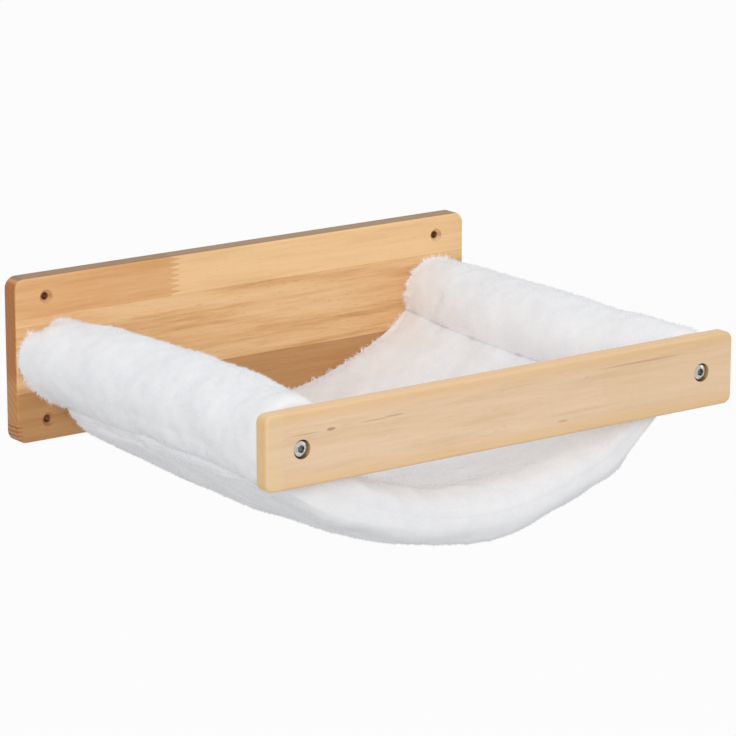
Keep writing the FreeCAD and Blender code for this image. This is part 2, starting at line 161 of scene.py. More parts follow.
def linear(red, green, blue):
    """A colour written as in a picture, from 0 to 255, as the linear numbers that a shader takes."""
    shares = (value / 255 for value in (red, green, blue))
    return tuple(s / 12.92 if s <= 0.04045 else ((s + 0.055) / 1.055) ** 2.4 for s in shares)


print("a mid grey of 128 is", round(linear(128, 128, 128)[0], 3), "in linear numbers")

# %% [markdown]
# An empty finish
#
# A new material comes with one main shader, the Principled one, which can be wood, metal or cloth by its
# settings. The finishes below start from it, so this helper hands over the material, its tree of nodes and
# that shader.

# %% Start a material
def new_material(name):
    """An empty material, its tree, and its main shader."""
    material = bpy.data.materials.new(name)
    material.use_nodes = True
    tree = material.node_tree
    return material, tree, tree.nodes["Principled BSDF"]


print("helper for new materials ready")

# %% [markdown]
# The floor
#
# A product picture stands on plain white. The floor lies well below the hammock, as under a wall shelf, so
# the soft shadow falls below the picture's lower edge. A white picture behind the object would be easy, but
# then no shadow could fall on it. So to the camera the floor is mostly a white of strength 1, mixed with a
# real matt floor that keeps the shadow.

# %% Build the floor
FLOOR_HEIGHT = -0.9
FLOOR_SIZE = 60.0
FLOOR_GREY = 0.7
WHITE_SHARE = 0.94

floor_mesh = bpy.data.meshes.new("floor")
half = FLOOR_SIZE / 2
floor_mesh.from_pydata([(-half, -half, FLOOR_HEIGHT), (half, -half, FLOOR_HEIGHT), (half, half, FLOOR_HEIGHT),
                        (-half, half, FLOOR_HEIGHT)], [], [(0, 1, 2, 3)])
floor = bpy.data.objects.new("floor", floor_mesh)
scene.collection.objects.link(floor)


def seen_share(tree, share):
    """The share on rays that show a background: straight to the camera, or by way of metal or glass."""
    path = add_node(tree, "LightPath")
    shown = calculate(tree, "MAXIMUM", path.outputs["Is Camera Ray"], path.outputs["Is Glossy Ray"])
    shown = calculate(tree, "MAXIMUM", shown, path.outputs["Is Transmission Ray"])
    return scaled(tree, shown, share)


floor_finish, tree, shader = new_material("floor_white")
tree.nodes.remove(shader)
matt = add_node(tree, "BsdfDiffuse", {"Color": (FLOOR_GREY, FLOOR_GREY, FLOOR_GREY, 1)}).outputs[0]
white = add_node(tree, "Emission", {"Color": (1, 1, 1, 1), "Strength": 1.0}).outputs[0]
mixed = add_node(tree, "MixShader", {0: seen_share(tree, WHITE_SHARE), 1: matt, 2: white}).outputs[0]
tree.links.new(mixed, tree.nodes["Material Output"].inputs["Surface"])
floor.data.materials.append(floor_finish)
print("floor at", FLOOR_HEIGHT, "m")

# %% [markdown]
# Light
#
# One large soft lamp stands near the camera, since the front faces are the brightest in the photograph. Two
# weak lamps lift the top and the right side, and the world fills the rest. A stronger world alone would be
# simpler, but it leaves the plush flat, with no shade in its folds. The white that the camera sees far off
# is kept apart from the light by the kind of ray, so it doesn't wash out the plush.

# %% Light the scene
WORLD_STRENGTH = 0.7
world = bpy.data.worlds.new("studio")
world.use_nodes = True
scene.world = world
tree = world.node_tree
tree.nodes.remove(tree.nodes["Background"])
ambient = add_node(tree, "Background", {"Color": (1, 0.995, 0.985, 1), "Strength": WORLD_STRENGTH}).outputs[0]
backdrop = add_node(tree, "Background", {"Color": (1, 1, 1, 1), "Strength": 1.0}).outputs[0]
mixed = add_node(tree, "MixShader", {0: seen_share(tree, 1.0), 1: ambient, 2: backdrop}).outputs[0]
tree.links.new(mixed, tree.nodes["World Output"].inputs["Surface"])

# Place, width, power and colour of each lamp
LAMPS = {
    "key": ((-2.1, -2.5, 1.15), 1.8, 35.0, (1.0, 0.985, 0.96)),
    "top": ((0.3, -0.9, 2.2), 2.0, 5.0, (1.0, 0.99, 0.97)),
    "side": ((2.4, -1.4, 0.9), 1.6, 7.0, (0.97, 0.985, 1.0)),
}
AIM = Vector((0, -0.17, -0.02))
for name, (place, across, power, colour) in LAMPS.items():
    lamp = bpy.data.objects.new(name + "_lamp", bpy.data.lights.new(name + "_lamp", "AREA"))
    lamp.data.shape = "DISK"
    lamp.data.size = across
    lamp.data.energy = power
    lamp.data.color = colour
    lamp.location = place
    lamp.rotation_euler = (AIM - Vector(place)).to_track_quat("-Z", "Y").to_euler()
    scene.collection.objects.link(lamp)
print("world of strength", WORLD_STRENGTH, "and lamps:", ", ".join(LAMPS))

# %% [markdown]
# Wood finish
#
# Board and rail are rubberwood, glued up from staves: a warm, straight-grained wood with short dark pores.
# The staves differ a little in tint and meet end to end in finger joints. A picture of wood would be quick,
# but it can't run round the rounded edges. Noise in the wood's own three dimensions does: drawn out along
# the grain it gives streaks on the faces and a speckled end grain on the cut ends, with no seams.

# %% Places and marks in the wood
def own_coordinates(tree):
    """The place in a piece, and its three parts in millimetres."""
    place = add_node(tree, "TexCoord").outputs["Object"]
    parts = add_node(tree, "SeparateXYZ", {0: place}).outputs
    return place, [scaled(tree, part, 1 / MM) for part in parts]


def finger_edge(tree, x, z, at, reach, pitch):
    """How far a place lies past a finger joint, in millimetres: the joint's line zigzags with the height."""
    zigzag = calculate(tree, "PINGPONG", z, pitch / 2)
    line = scaled(tree, zigzag, 2 * reach / pitch)
    return calculate(tree, "SUBTRACT", calculate(tree, "SUBTRACT", x, at), line)


def dark_line(tree, distance, half_width):
    """1 on a line and 0 away from it."""
    return fade(tree, calculate(tree, "ABSOLUTE", distance), half_width, 0.0)


def squared_reach(tree, across, up):
    """The square of the distance that two offsets at right angles make."""
    return calculate(tree, "ADD", calculate(tree, "POWER", across, 2.0), calculate(tree, "POWER", up, 2.0))


def fleck(tree, x, z, at_x, at_z, length, height):
    """1 in the middle of a small dark fleck that lies along the grain."""
    across = calculate(tree, "DIVIDE", calculate(tree, "SUBTRACT", x, at_x), length)
    up = calculate(tree, "DIVIDE", calculate(tree, "SUBTRACT", z, at_z), height)
    return fade(tree, squared_reach(tree, across, up), 1.0, 0.1)


def drilled(tree, x, z, at_x, at_z, radius):
    """1 in a drilled hole, for holes that lie alike on both sides of the middle; the finishes paint shade
    with it.
    """
    across = calculate(tree, "SUBTRACT", calculate(tree, "ABSOLUTE", x), at_x)
    up = calculate(tree, "SUBTRACT", z, at_z)
    reach = calculate(tree, "SQRT", squared_reach(tree, across, up))
    return fade(tree, reach, radius + 0.15, radius - 0.1)


print("marks ready: finger joints, lines, flecks and drilled holes")

# %% [markdown]
# A plank
#
# All planks share one build-up: broad bands, streaks, fine fibres and short pores, which are noise at four
# sizes. Wood grows long fibres, so the noise is drawn out along the grain. One function starts a plank's
# finish and another ends it with the cut ends, a satin lacquer and a fine relief. The board, the rail and
# the rods then differ only in their tones and their own marks.

# %% Grain of a plank
def grain_noise(tree, coordinates, stretch, scale, detail, roughness, distortion=0.0):
    """Noise drawn out along the grain by the stretch."""
    mapped = add_node(tree, "Mapping", {"Vector": coordinates, "Scale": stretch}).outputs[0]
    settings = {"Vector": mapped, "Scale": scale, "Detail": detail, "Roughness": roughness,
                "Distortion": distortion}
    return add_node(tree, "TexNoise", settings).outputs["Fac"]


def start_wood(name, tones):
    """Streaks, bands, fibres and pores of one plank, before its own staves and marks."""
    material, tree, shader = new_material(name)
    place, parts = own_coordinates(tree)
    bands = grain_noise(tree, place, (1.6, 26, 26), 3.0, 3.0, 0.5, 0.8)
    streaks = grain_noise(tree, place, (5, 90, 90), 4.0, 5.0, 0.6)
    fibres = grain_noise(tree, place, (30, 700, 700), 3.0, 3.0, 0.6)
    pores = grain_noise(tree, place, (55, 900, 900), 2.2, 2.0, 0.5)
    figure = mixture(tree, bands, 0.55, streaks, 0.45)
    colour = ramp(tree, fade(tree, figure, 0.28, 0.72), [(0.0, tones[0]), (0.45, tones[1]), (1.0, tones[2])])
    colour = tint(tree, scaled(tree, fade(tree, fibres, 0.45, 0.8), 0.28), colour, tones[0])
    pore_mask = scaled(tree, fade(tree, pores, 0.63, 0.72), 0.32)
    colour = tint(tree, pore_mask, colour, tones[3])
    wood = {"tree": tree, "shader": shader, "parts": parts, "fibres": fibres, "pores": pore_mask}
    return material, wood, colour


print("a plank starts from bands, streaks, fibres and pores")

# %% End grain and lacquer
LACQUER_ROUGH, FIBRE_ROUGH = 0.4, 0.16


def facing_parts(tree):
    """The three parts of the way that a surface faces."""
    normal = add_node(tree, "NewGeometry").outputs["Normal"]
    return add_node(tree, "SeparateXYZ", {0: normal}).outputs


def finish_wood(wood, colour, end_colour, end_share):
    """Adds darker end grain, a satin lacquer and a fine relief."""
    tree, shader = wood["tree"], wood["shader"]
    sideways = calculate(tree, "ABSOLUTE", facing_parts(tree)[0])
    end_mask = scaled(tree, fade(tree, sideways, 0.5, 0.9), end_share)
    colour = tint(tree, end_mask, colour, end_colour)
    tree.links.new(colour, shader.inputs["Base Color"])
    rough = calculate(tree, "MULTIPLY_ADD", wood["fibres"], FIBRE_ROUGH)
    rough.node.inputs[2].default_value = LACQUER_ROUGH
    tree.links.new(rough, shader.inputs["Roughness"])
    relief = calculate(tree, "SUBTRACT", wood["fibres"], wood["pores"])
    bump = add_node(tree, "Bump", {"Strength": 0.12, "Distance": 0.0004, "Height": relief}).outputs[0]
    tree.links.new(bump, shader.inputs["Normal"])
    shader.inputs["Specular IOR Level"].default_value = 0.3


def dress(names, material):
    """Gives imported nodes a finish."""
    for name in names:
        node_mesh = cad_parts[name].data
        node_mesh.materials.clear()
        node_mesh.materials.append(material)


print("lacquer of roughness", LACQUER_ROUGH, "and up to", FIBRE_ROUGH, "more on the fibres")

# %% [markdown]
# The wall board
#
# The board is the warmer of the two planks. It is glued up from three staves: a narrow one above, a broad
# one in the middle and a darker one below. A finger joint crosses the upper stave, and the teeth of another
# show as stripes at the lower left corner. The cut ends carry growth rings about a heart that lay below and
# behind the board. The marks could be painted on a texture, but each is drawn from its place in the board's
# own millimetres instead, so it is sharp and stays on the wood from any side. Shade is painted in as well:
# the wall holes and the board's top face are darkened.

# %% Finish the wall board
BOARD_TONES = [linear(204, 152, 99), linear(229, 182, 130), linear(239, 200, 152), linear(152, 100, 60)]
board_wood, wood, colour = start_wood("board_wood", BOARD_TONES)
LOWER_GLUE_LINE, UPPER_GLUE_LINE, STAVE_BLEND = -24.8, 32.8, 0.4
WALL_HOLE_X, WALL_HOLE_Z, BORE_RADIUS, SINK_RADIUS = 182.5, 47.5, 2.9, 5.4
# A finger joint: where it begins, how long its fingers are and their pitch
BOARD_JOINT = (-73.0, 10.0, 4.2)
tree = wood["tree"]
x, y, z = wood["parts"]
upper_stave = fade(tree, z, UPPER_GLUE_LINE - STAVE_BLEND, UPPER_GLUE_LINE + STAVE_BLEND)
lower_stave = fade(tree, z, LOWER_GLUE_LINE + STAVE_BLEND, LOWER_GLUE_LINE - STAVE_BLEND)
joint = finger_edge(tree, x, z, *BOARD_JOINT)
upper_left = calculate(tree, "MULTIPLY", upper_stave, fade(tree, joint, 1.0, -1.0))
colour = tint(tree, scaled(tree, upper_left, 0.5), colour, linear(219, 165, 110))
upper_right = calculate(tree, "MULTIPLY", upper_stave, fade(tree, joint, -1.0, 1.0))
colour = tint(tree, scaled(tree, upper_right, 0.5), colour, linear(248, 212, 160))
colour = tint(tree, scaled(tree, lower_stave, 0.68), colour, linear(172, 119, 68))
lower_glue = dark_line(tree, calculate(tree, "SUBTRACT", z, LOWER_GLUE_LINE), 0.5)
upper_glue = dark_line(tree, calculate(tree, "SUBTRACT", z, UPPER_GLUE_LINE), 0.45)
joint_glue = calculate(tree, "MULTIPLY", upper_stave, dark_line(tree, joint, 0.6))
glue = calculate(tree, "MAXIMUM", lower_glue, scaled(tree, upper_glue, 0.35))
glue = calculate(tree, "MAXIMUM", glue, joint_glue)
colour = tint(tree, scaled(tree, glue, 0.45), colour, linear(140, 84, 46))
# Painted shade in the wall holes: the bore is painted nearly black and the countersink a little darker.
up_or_down = calculate(tree, "ABSOLUTE", z)
bore = scaled(tree, drilled(tree, x, up_or_down, WALL_HOLE_X, WALL_HOLE_Z, BORE_RADIUS), 0.94)
countersink_painted_shade = scaled(tree, drilled(tree, x, up_or_down, WALL_HOLE_X, WALL_HOLE_Z, SINK_RADIUS), 0.12)
colour = tint(tree, calculate(tree, "MAXIMUM", countersink_painted_shade, bore), colour, linear(54, 32, 20))
# Painted shade: faces that look upwards are darkened towards dark brown, as the board's top face lies in
# shade.
top_face_painted_shade = scaled(tree, fade(tree, facing_parts(tree)[2], 0.65, 0.95), 0.8)
colour = tint(tree, top_face_painted_shade, colour, linear(126, 94, 64))
print("wall board: staves, glue lines and drilled holes drawn")

# %% Finish the board's cut ends
# Growth rings: where their heart lies in Y and Z, and half a ring's width, in millimetres
RING_HEART, RING_HALF = (49.0, -93.0), 2.6
to_heart = [calculate(tree, "SUBTRACT", part, heart) for part, heart in zip((y, z), RING_HEART)]
reach = calculate(tree, "SQRT", squared_reach(tree, *to_heart))
wavy = calculate(tree, "ADD", reach, scaled(tree, wood["fibres"], 2.0))
rings = fade(tree, calculate(tree, "PINGPONG", wavy, RING_HALF), 0.5, 2.3)
end_colour = tint(tree, fade(tree, z, -8.0, -22.0), linear(170, 98, 34), linear(192, 137, 80))
end_colour = tint(tree, scaled(tree, rings, 0.3), end_colour, linear(140, 76, 34))
# Teeth of the corner's finger joint: how far the first lies below the middle, and half their pitch
TEETH_BELOW, TEETH_HALF = 50.3, 1.64
corner = calculate(tree, "MULTIPLY", fade(tree, z, -46.0, -49.5), fade(tree, x, -204.0, -208.5))
to_tooth = calculate(tree, "PINGPONG", calculate(tree, "ADD", z, TEETH_BELOW), TEETH_HALF)
stripes = scaled(tree, calculate(tree, "MULTIPLY", corner, fade(tree, to_tooth, 1.0, 0.4)), 0.7)
end_colour = tint(tree, stripes, end_colour, linear(126, 70, 42))
colour = tint(tree, stripes, colour, linear(150, 92, 52))
finish_wood(wood, colour, end_colour, 0.88)
dress(["wall_board"], board_wood)
print("wall board:", len(tree.nodes), "nodes in its finish")

# %% [markdown]
# The front rail and the rods
#
# The rail is paler and pinker, with a few small dark flecks, a paler strip at its left end and yellower
# bands along its long edges, where the lacquer soaked in. Shade is painted into its two bolt recesses. Its
# finish could be a tinted copy of the board's, but then both would show the same marks. So it starts from
# the same helpers with its own tones and draws its own marks. The rods are of the same wood and hide in the
# sleeves.

# %% Finish the rail and the rods
RAIL_TONES = [linear(223, 189, 151), linear(232, 202, 168), linear(237, 209, 177), linear(180, 136, 98)]
RAIL_MIDDLE, BOLT_ACROSS, RECESS_RADIUS = 2.0, 180.0, 6.95
RAIL_JOINT = (84.0, 7.0, 8.0)
# Flecks: place across, height, half length and half thickness in millimetres
MAIN_FLECK = (-155.6, 12.6, 4.8, 1.6)
FAINT_FLECKS = ((-101.0, 13.9, 11.0, 0.9), (49.3, -14.2, 6.0, 1.1), (-178.0, 12.4, 16.0, 0.5),
                (-118.0, 13.2, 16.0, 0.6), (120.7, 18.9, 46.0, 1.2))
rail_wood, wood, colour = start_wood("rail_wood", RAIL_TONES)
tree = wood["tree"]
x, _, z = wood["parts"]
height = calculate(tree, "ABSOLUTE", calculate(tree, "SUBTRACT", z, RAIL_MIDDLE))
edge_band = scaled(tree, fade(tree, height, 15.0, 24.0), 0.5)
colour = tint(tree, edge_band, colour, linear(232, 190, 136))
left_strip = scaled(tree, fade(tree, x, -193.0, -199.0), 0.45)
colour = tint(tree, left_strip, colour, linear(231, 206, 160))
flecks = fleck(tree, x, z, *MAIN_FLECK)
for faint in FAINT_FLECKS:
    weak = scaled(tree, fleck(tree, x, z, *faint), 0.6)
    flecks = calculate(tree, "MAXIMUM", flecks, weak)
colour = tint(tree, scaled(tree, flecks, 0.62), colour, linear(150, 108, 72))
joint = finger_edge(tree, x, z, *RAIL_JOINT)
colour = tint(tree, scaled(tree, fade(tree, joint, -0.4, 0.4), 0.16), colour, linear(224, 190, 142))
# Painted shade: the wood in each bolt recess round the bolt head is darkened.
recess = drilled(tree, x, z, BOLT_ACROSS, RAIL_MIDDLE, RECESS_RADIUS)
colour = tint(tree, scaled(tree, recess, 0.9), colour, linear(104, 74, 48))
finish_wood(wood, colour, linear(224, 184, 122), 0.65)
dress(["front_rail"], rail_wood)
rod_wood, wood, colour = start_wood("rod_wood", RAIL_TONES)
finish_wood(wood, colour, linear(206, 168, 124), 0.5)
dress(["left_rod", "right_rod"], rod_wood)
print("rail and rods finished")

# %% [markdown]
# Steel finish
#
# The bolts are bright zinc-plated steel with a faint cloudy plating. A mirror would look like glass, so
# noise spreads the roughness, and a fine relief breaks the highlight as handling does. Shade is painted
# into the hexagon sockets: the steel is darkened within their radius. The inserts are duller zinc.

# %% Finish the steel
def plated(name, colour, low_rough, high_rough):
    """Plated metal with a cloudy gloss."""
    material, tree, shader = new_material(name)
    place = add_node(tree, "TexCoord").outputs["Object"]
    clouds = add_node(tree, "TexNoise", {"Vector": place, "Scale": 420.0, "Detail": 3.0}).outputs["Fac"]
    marks = add_node(tree, "TexNoise", {"Vector": place, "Scale": 2600.0, "Detail": 2.0}).outputs["Fac"]
    darker = tuple(0.72 * part for part in colour)
    tree.links.new(ramp(tree, clouds, [(0.3, darker), (0.62, colour)]), shader.inputs["Base Color"])
    settings = {"Value": clouds, "From Min": 0.3, "From Max": 0.7, "To Min": high_rough, "To Max": low_rough}
    rough = add_node(tree, "MapRange", settings).outputs["Result"]
    tree.links.new(rough, shader.inputs["Roughness"])
    bump = add_node(tree, "Bump", {"Strength": 0.15, "Distance": 0.0001, "Height": marks}).outputs[0]
    tree.links.new(bump, shader.inputs["Normal"])
    shader.inputs["Metallic"].default_value = 1.0
    return material


bolt_steel = plated("bolt_steel", linear(204, 203, 198), 0.16, 0.3)
tree = bolt_steel.node_tree
bright = tree.nodes["Principled BSDF"].inputs["Base Color"]
x, _, z = own_coordinates(tree)[1]
SOCKET_RADIUS = 2.7
# Painted shade: the steel within the socket's radius round each bolt's axis is darkened.
socket = scaled(tree, drilled(tree, x, z, BOLT_ACROSS, RAIL_MIDDLE, SOCKET_RADIUS), 0.75)
tree.links.new(tint(tree, socket, bright.links[0].from_socket, linear(66, 66, 64)), bright)
insert_zinc = plated("insert_zinc", linear(186, 187, 190), 0.35, 0.5)
dress([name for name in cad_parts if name.endswith("insert")], insert_zinc)
print("steel:", bolt_steel.name, insert_zinc.name)

# %% [markdown]
# The bolts
#
# Each bolt is a button head with a hexagon socket on a threaded shank. The CAD bolt has a plain shank,
# which is right for its fit, but a drawn bolt shows its thread. Blender's Screw modifier could wind a
# thread, but a head would still have to be joined to it. A bolt is round, so rings of points along its axis
# make it in one go: the socket's rings are hexagons, the dome's are circles, and the thread's radius climbs
# with angle.

# %% Rings of a bolt
HEAD_RADIUS, HEAD_HEIGHT, DOME_RADIUS = 6.1, 3.8, 13.0
RIM_WIDTH, RIM_DROP = 1.0, 1.2
HEX_APOTHEM, HEX_DEPTH = 2.5, 2.4
SOCKET_EDGE, DOME_STEPS, RIM_TURNS = 3.1, (3.1, 3.3, 3.7, 4.1, 4.5), (15, 32, 50, 70, 90)
SHANK_RADIUS, BOLT_LENGTH, CHAMFER, FILLET = 3.0, 40.0, 0.25, 0.3
THREAD_PITCH, THREAD_DEPTH, PLAIN_SHANK = 1.0, 0.55, 5.0
# The rings of the tip: their radius, and their place from the bolt's end
TIP_RINGS = ((2.4, 0.7), (1.9, 0.0))
RING_POINTS = 48
RINGS_PER_TURN = 6
angles = np.arange(RING_POINTS) * 2 * math.pi / RING_POINTS


def dome(radius):
    """Height of the head's dome at a radius."""
    return math.sqrt(DOME_RADIUS ** 2 - radius ** 2) - (DOME_RADIUS - HEAD_HEIGHT)


def bolt_rings():
    """Radius and height of each ring, from the socket's floor over the head and down the shank to the tip."""
    sixth = math.pi / 3
    hexagon = HEX_APOTHEM / np.cos((angles + sixth / 2) % sixth - sixth / 2)
    floor_height = HEAD_HEIGHT - HEX_DEPTH
    round_ring = np.ones(RING_POINTS)
    rings = [(0.4 * hexagon, floor_height - CHAMFER), (hexagon, floor_height)]
    rings.append((hexagon, dome(SOCKET_EDGE) - CHAMFER))
    rings += [(round_ring * r, dome(r)) for r in (*DOME_STEPS, HEAD_RADIUS - RIM_WIDTH)]
    rim = dome(HEAD_RADIUS - RIM_WIDTH) - RIM_DROP
    for turn in np.radians(RIM_TURNS):
        radius = HEAD_RADIUS - RIM_WIDTH * (1 - math.sin(turn))
        rings.append((round_ring * radius, rim + RIM_DROP * math.cos(turn)))
    rings += [(round_ring * r, h) for r, h in ((HEAD_RADIUS, CHAMFER), (HEAD_RADIUS - CHAMFER, 0.0),
                                               (SHANK_RADIUS + FILLET, 0.0), (SHANK_RADIUS, -FILLET),
                                               (SHANK_RADIUS, -PLAIN_SHANK))]
    steps = int((BOLT_LENGTH - PLAIN_SHANK - 1) / THREAD_PITCH * RINGS_PER_TURN)
    for step in range(1, steps + 1):
        height = -PLAIN_SHANK - step * THREAD_PITCH / RINGS_PER_TURN
        turn = (height / THREAD_PITCH + angles / (2 * math.pi)) % 1
        cut = THREAD_DEPTH * np.abs(2 * turn - 1) * min(1, step / RINGS_PER_TURN)
        rings.append((SHANK_RADIUS - cut, height))
    return rings + [(round_ring * r, from_end - BOLT_LENGTH) for r, from_end in TIP_RINGS]


print("a bolt has", len(bolt_rings()), "rings of", RING_POINTS, "points")

# %% [markdown]
# From rings to a piece
#
# Bolts, rolls, hems, stitches and the layers of the sling are all rows of rings. Blender can bridge loops by
# itself, but the faces between two rings are plain to list: each joins two neighbours on one ring with the
# two beside them on the next. The piece then gets its finish and the body of the frame that it rides on.

# %% Meshes from rings
def ring_faces(rows, columns):
    """Quads between rings that close round their columns."""
    faces = []
    for row in range(rows - 1):
        for column in range(columns):
            after = (column + 1) % columns
            faces.append((row * columns + column, row * columns + after, (row + 1) * columns + after,
                          (row + 1) * columns + column))
    return faces


def face_outwards(mesh):
    """Turns all faces to the outside."""
    shape = bmesh.new()
    shape.from_mesh(mesh)
    bmesh.ops.recalc_face_normals(shape, faces=shape.faces)
    shape.to_mesh(mesh)
    shape.free()


def new_piece(name, points, faces, material, body="hammock"):
    """A mesh object from points in millimetres, with its finish, riding on a body of the frame."""
    mesh = bpy.data.meshes.new(name)
    mesh.from_pydata((np.asarray(points) * MM).tolist(), [], faces)
    face_outwards(mesh)
    mesh.polygons.foreach_set("use_smooth", [True] * len(mesh.polygons))
    mesh.materials.append(material)
    piece = bpy.data.objects.new(name, mesh)
    scene.collection.objects.link(piece)
    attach(piece, body)
    return piece


print("two rings of", RING_POINTS, "points give", len(ring_faces(2, RING_POINTS)), "faces")

# %% [markdown]
# Four bolts in place
#
# Two bolts show on the rail and can be drawn out. Two more sit in the back of the board. Their places could
# be typed in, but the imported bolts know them: each new bolt takes the middle and the outer face of the box
# of the one it stands for, so it fits its recess. Front bolts ride on bodies of their own.

# %% Build the bolts
def make_bolt(name, node, body):
    """A threaded bolt in the place of a packed one; its head faces away from the middle of the hammock."""
    low, high = (np.array(corner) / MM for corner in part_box(node))
    at_front = name.startswith("front")
    under_head = (low[1] + HEAD_HEIGHT) if at_front else (high[1] - HEAD_HEIGHT)
    outwards = -1 if at_front else 1
    middle_x, middle_z = (low[0] + high[0]) / 2, (low[2] + high[2]) / 2
    points = []
    rings = bolt_rings()
    for radius, height in rings:
        depth = np.full(RING_POINTS, under_head + outwards * height)
        points += zip(middle_x + radius * np.cos(angles), depth, middle_z + radius * np.sin(angles))
    faces = ring_faces(len(rings), RING_POINTS)
    last = (len(rings) - 1) * RING_POINTS
    faces += [tuple(range(RING_POINTS)), tuple(range(last, last + RING_POINTS))]
    piece = new_piece(name, points, faces, bolt_steel, body)
    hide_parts(node)
    return piece


BOLTS = {"front_left_bolt": "left_bolt", "front_right_bolt": "right_bolt", "rear_left_bolt": "hammock",
         "rear_right_bolt": "hammock"}
SHARP_ANGLE = math.radians(40)
for node, body in BOLTS.items():
    bolt = make_bolt(node + "_threaded", node, body)
    bolt.data.set_sharp_from_angle(angle=SHARP_ANGLE)
print("bolts:", len(BOLTS), "with", len(bolt.data.polygons), "faces each")

# %% [markdown]
# The form of the plush
#
# The sling hangs on two rolls: sleeves round the rods, fuller half way than at the ends, that run down to a
# seam on the outer flank. Between them lie an upper panel, the bowl, and a lower one, the belly, sewn
# together at a rounded lip front and rear. The forms could be sculpted, but the CAD source already has them
# as a few sizes at the rear, half way and at the front, so the same curves are used here, with the seams
# and the lips fitted a little closer to the picture. The pile stands out from these forms.

# %% Sizes of the plush
BOARD_FRONT, CLEAR_SPAN, SOFT_GAP = 15.0, 315.0, 0.4
ROD_OFFSET, ROD_RISE = 180.0, 2.0
# In millimetres; where there are three values, they hold at the board, half way and at the rail
ROLL_RADIUS = (28.5, 33.0, 32.0)
ROLL_SHIFT = (0.0, 12.5, 3.0)
SEAM_OUT = (-9.5, 7.0, 7.0)
SEAM_DROP = {-1: (42.0, 31.0, 32.0), 1: (42.0, 37.0, 38.5)}
RIGHT_TUCK, TUCK_RISE = (0.0, 5.0, 31.0), 0.36
LENGTH = CLEAR_SPAN - 2 * SOFT_GAP


def along(sizes, share):
    """A size part way from the board to the rail: a parabola through its three values."""
    rear, middle, front = sizes
    at_ends = rear * (1 - share) * (1 - 2 * share) + front * share * (2 * share - 1)
    return at_ends + middle * 4 * share * (1 - share)


print("sling %.1f mm long; roll radius at the middle %.1f mm" % (LENGTH, along(ROLL_RADIUS, 0.5)))

# %% [markdown]
# Where the plush runs
#
# The outlines of the rolls and the two seams are curves in space. Their points could be listed one by one,
# but a few functions can say where any of them lies: on a roll at some angle, on a seam, or so far from the
# board. Rolls, layers and hems all ask the same functions, so they meet without gaps.

# %% Places on the plush
def depth_at(place):
    """Y of a place on the sling, counted from its rear edge."""
    return -(BOARD_FRONT + SOFT_GAP + place)


def on_roll(side, share, angle, inset=0.0):
    """A point on a roll's section; the angle counts upwards from inwards."""
    radius = along(ROLL_RADIUS, share) - inset
    middle = side * (ROD_OFFSET - along(ROLL_SHIFT, share))
    return np.array([middle - side * radius * math.cos(angle), ROD_RISE + radius * math.sin(angle)])


def tuck_at(side, share):
    """How far the seam is pulled inwards: only the right one is, towards the rail."""
    return along(RIGHT_TUCK, share) if side > 0 else 0.0


def seam_point(side, share):
    """The seam on the outer flank."""
    tuck = tuck_at(side, share)
    out = ROD_OFFSET + along(SEAM_OUT, share) - tuck
    return np.array([side * out, ROD_RISE - along(SEAM_DROP[side], share) + TUCK_RISE * tuck])


def stations(step, ends):
    """Places along the sling, close together near both ends."""
    inner = np.linspace(ends[-1], LENGTH - ends[-1], int((LENGTH - 2 * ends[-1]) / step) + 1)
    return np.concatenate([ends[:-1], inner, LENGTH - np.array(ends[:-1])[::-1]])


print("seams half way along, in X and Z:", [seam_point(side, 0.5).round(1).tolist() for side in (-1, 1)])

# %% [markdown]
# Plush finish
#
# The plush is a white fleece with a cold tinge and no gloss: light goes in between the fibres and comes out
# all round. So the shader is fully rough with some sheen, and two sizes of noise give the faint mottling
# that clumps of pile show. The pile itself is made of real tufts further down, not drawn in the finish.

# %% Finish the plush
def plush_finish(name, light, shade, sheen, relief):
    """Soft white cloth with clouds of slightly darker pile."""
    material, tree, shader = new_material(name)
    place = add_node(tree, "TexCoord").outputs["Object"]
    clouds = add_node(tree, "TexNoise", {"Vector": place, "Scale": 55.0, "Detail": 3.0}).outputs["Fac"]
    tufts = add_node(tree, "TexNoise", {"Vector": place, "Scale": 480.0, "Detail": 2.0}).outputs["Fac"]
    mottle = ramp(tree, mixture(tree, clouds, 0.6, tufts, 0.4), [(0.36, shade), (0.6, light)])
    tree.links.new(mottle, shader.inputs["Base Color"])
    if relief:
        bump = add_node(tree, "Bump", {"Strength": 0.3, "Distance": relief, "Height": tufts}).outputs[0]
        tree.links.new(bump, shader.inputs["Normal"])
    shader.inputs["Roughness"].default_value = 1.0
    shader.inputs["Specular IOR Level"].default_value = 0.1
    shader.inputs["Sheen Weight"].default_value = sheen
    shader.inputs["Sheen Roughness"].default_value = 0.6
    return material


plush_cloth = plush_finish("plush_cloth", linear(243, 244, 248), linear(236, 238, 243), 0.15, 0.0006)
plush_pile = plush_finish("plush_pile", linear(244, 245, 249), linear(237, 239, 244), 0.15, 0)
print("plush finishes:", plush_cloth.name, plush_pile.name)

# %% [markdown]
# The rolls
#
# A roll is a tube with a bore for its rod. A curve with a bevel would make a tube too, but with one section
# all along, and a sleeve's section changes from the board to the rail. So its sections are rings of points
# round the outline, each paired with a ring on the bore, and the tube closes at both ends with a simple
# band. The flank bulges most just above the seam, which draws it in, and near the wood the ends round off.
# Each point also remembers whether it will show, so that later the pile grows only where it can be seen.

# %% Section of a roll
FLANK_POINTS, ARC_POINTS, UNDER_POINTS = 12, 44, 10
ROLL_POINTS = FLANK_POINTS + ARC_POINTS + UNDER_POINTS
ROLL_INNER, ROLL_OUTER = math.radians(-25), math.radians(200)
FLANK_BULGE, FLANK_SKEW, TUCK_BULGE = 5.0, 0.8, -0.15


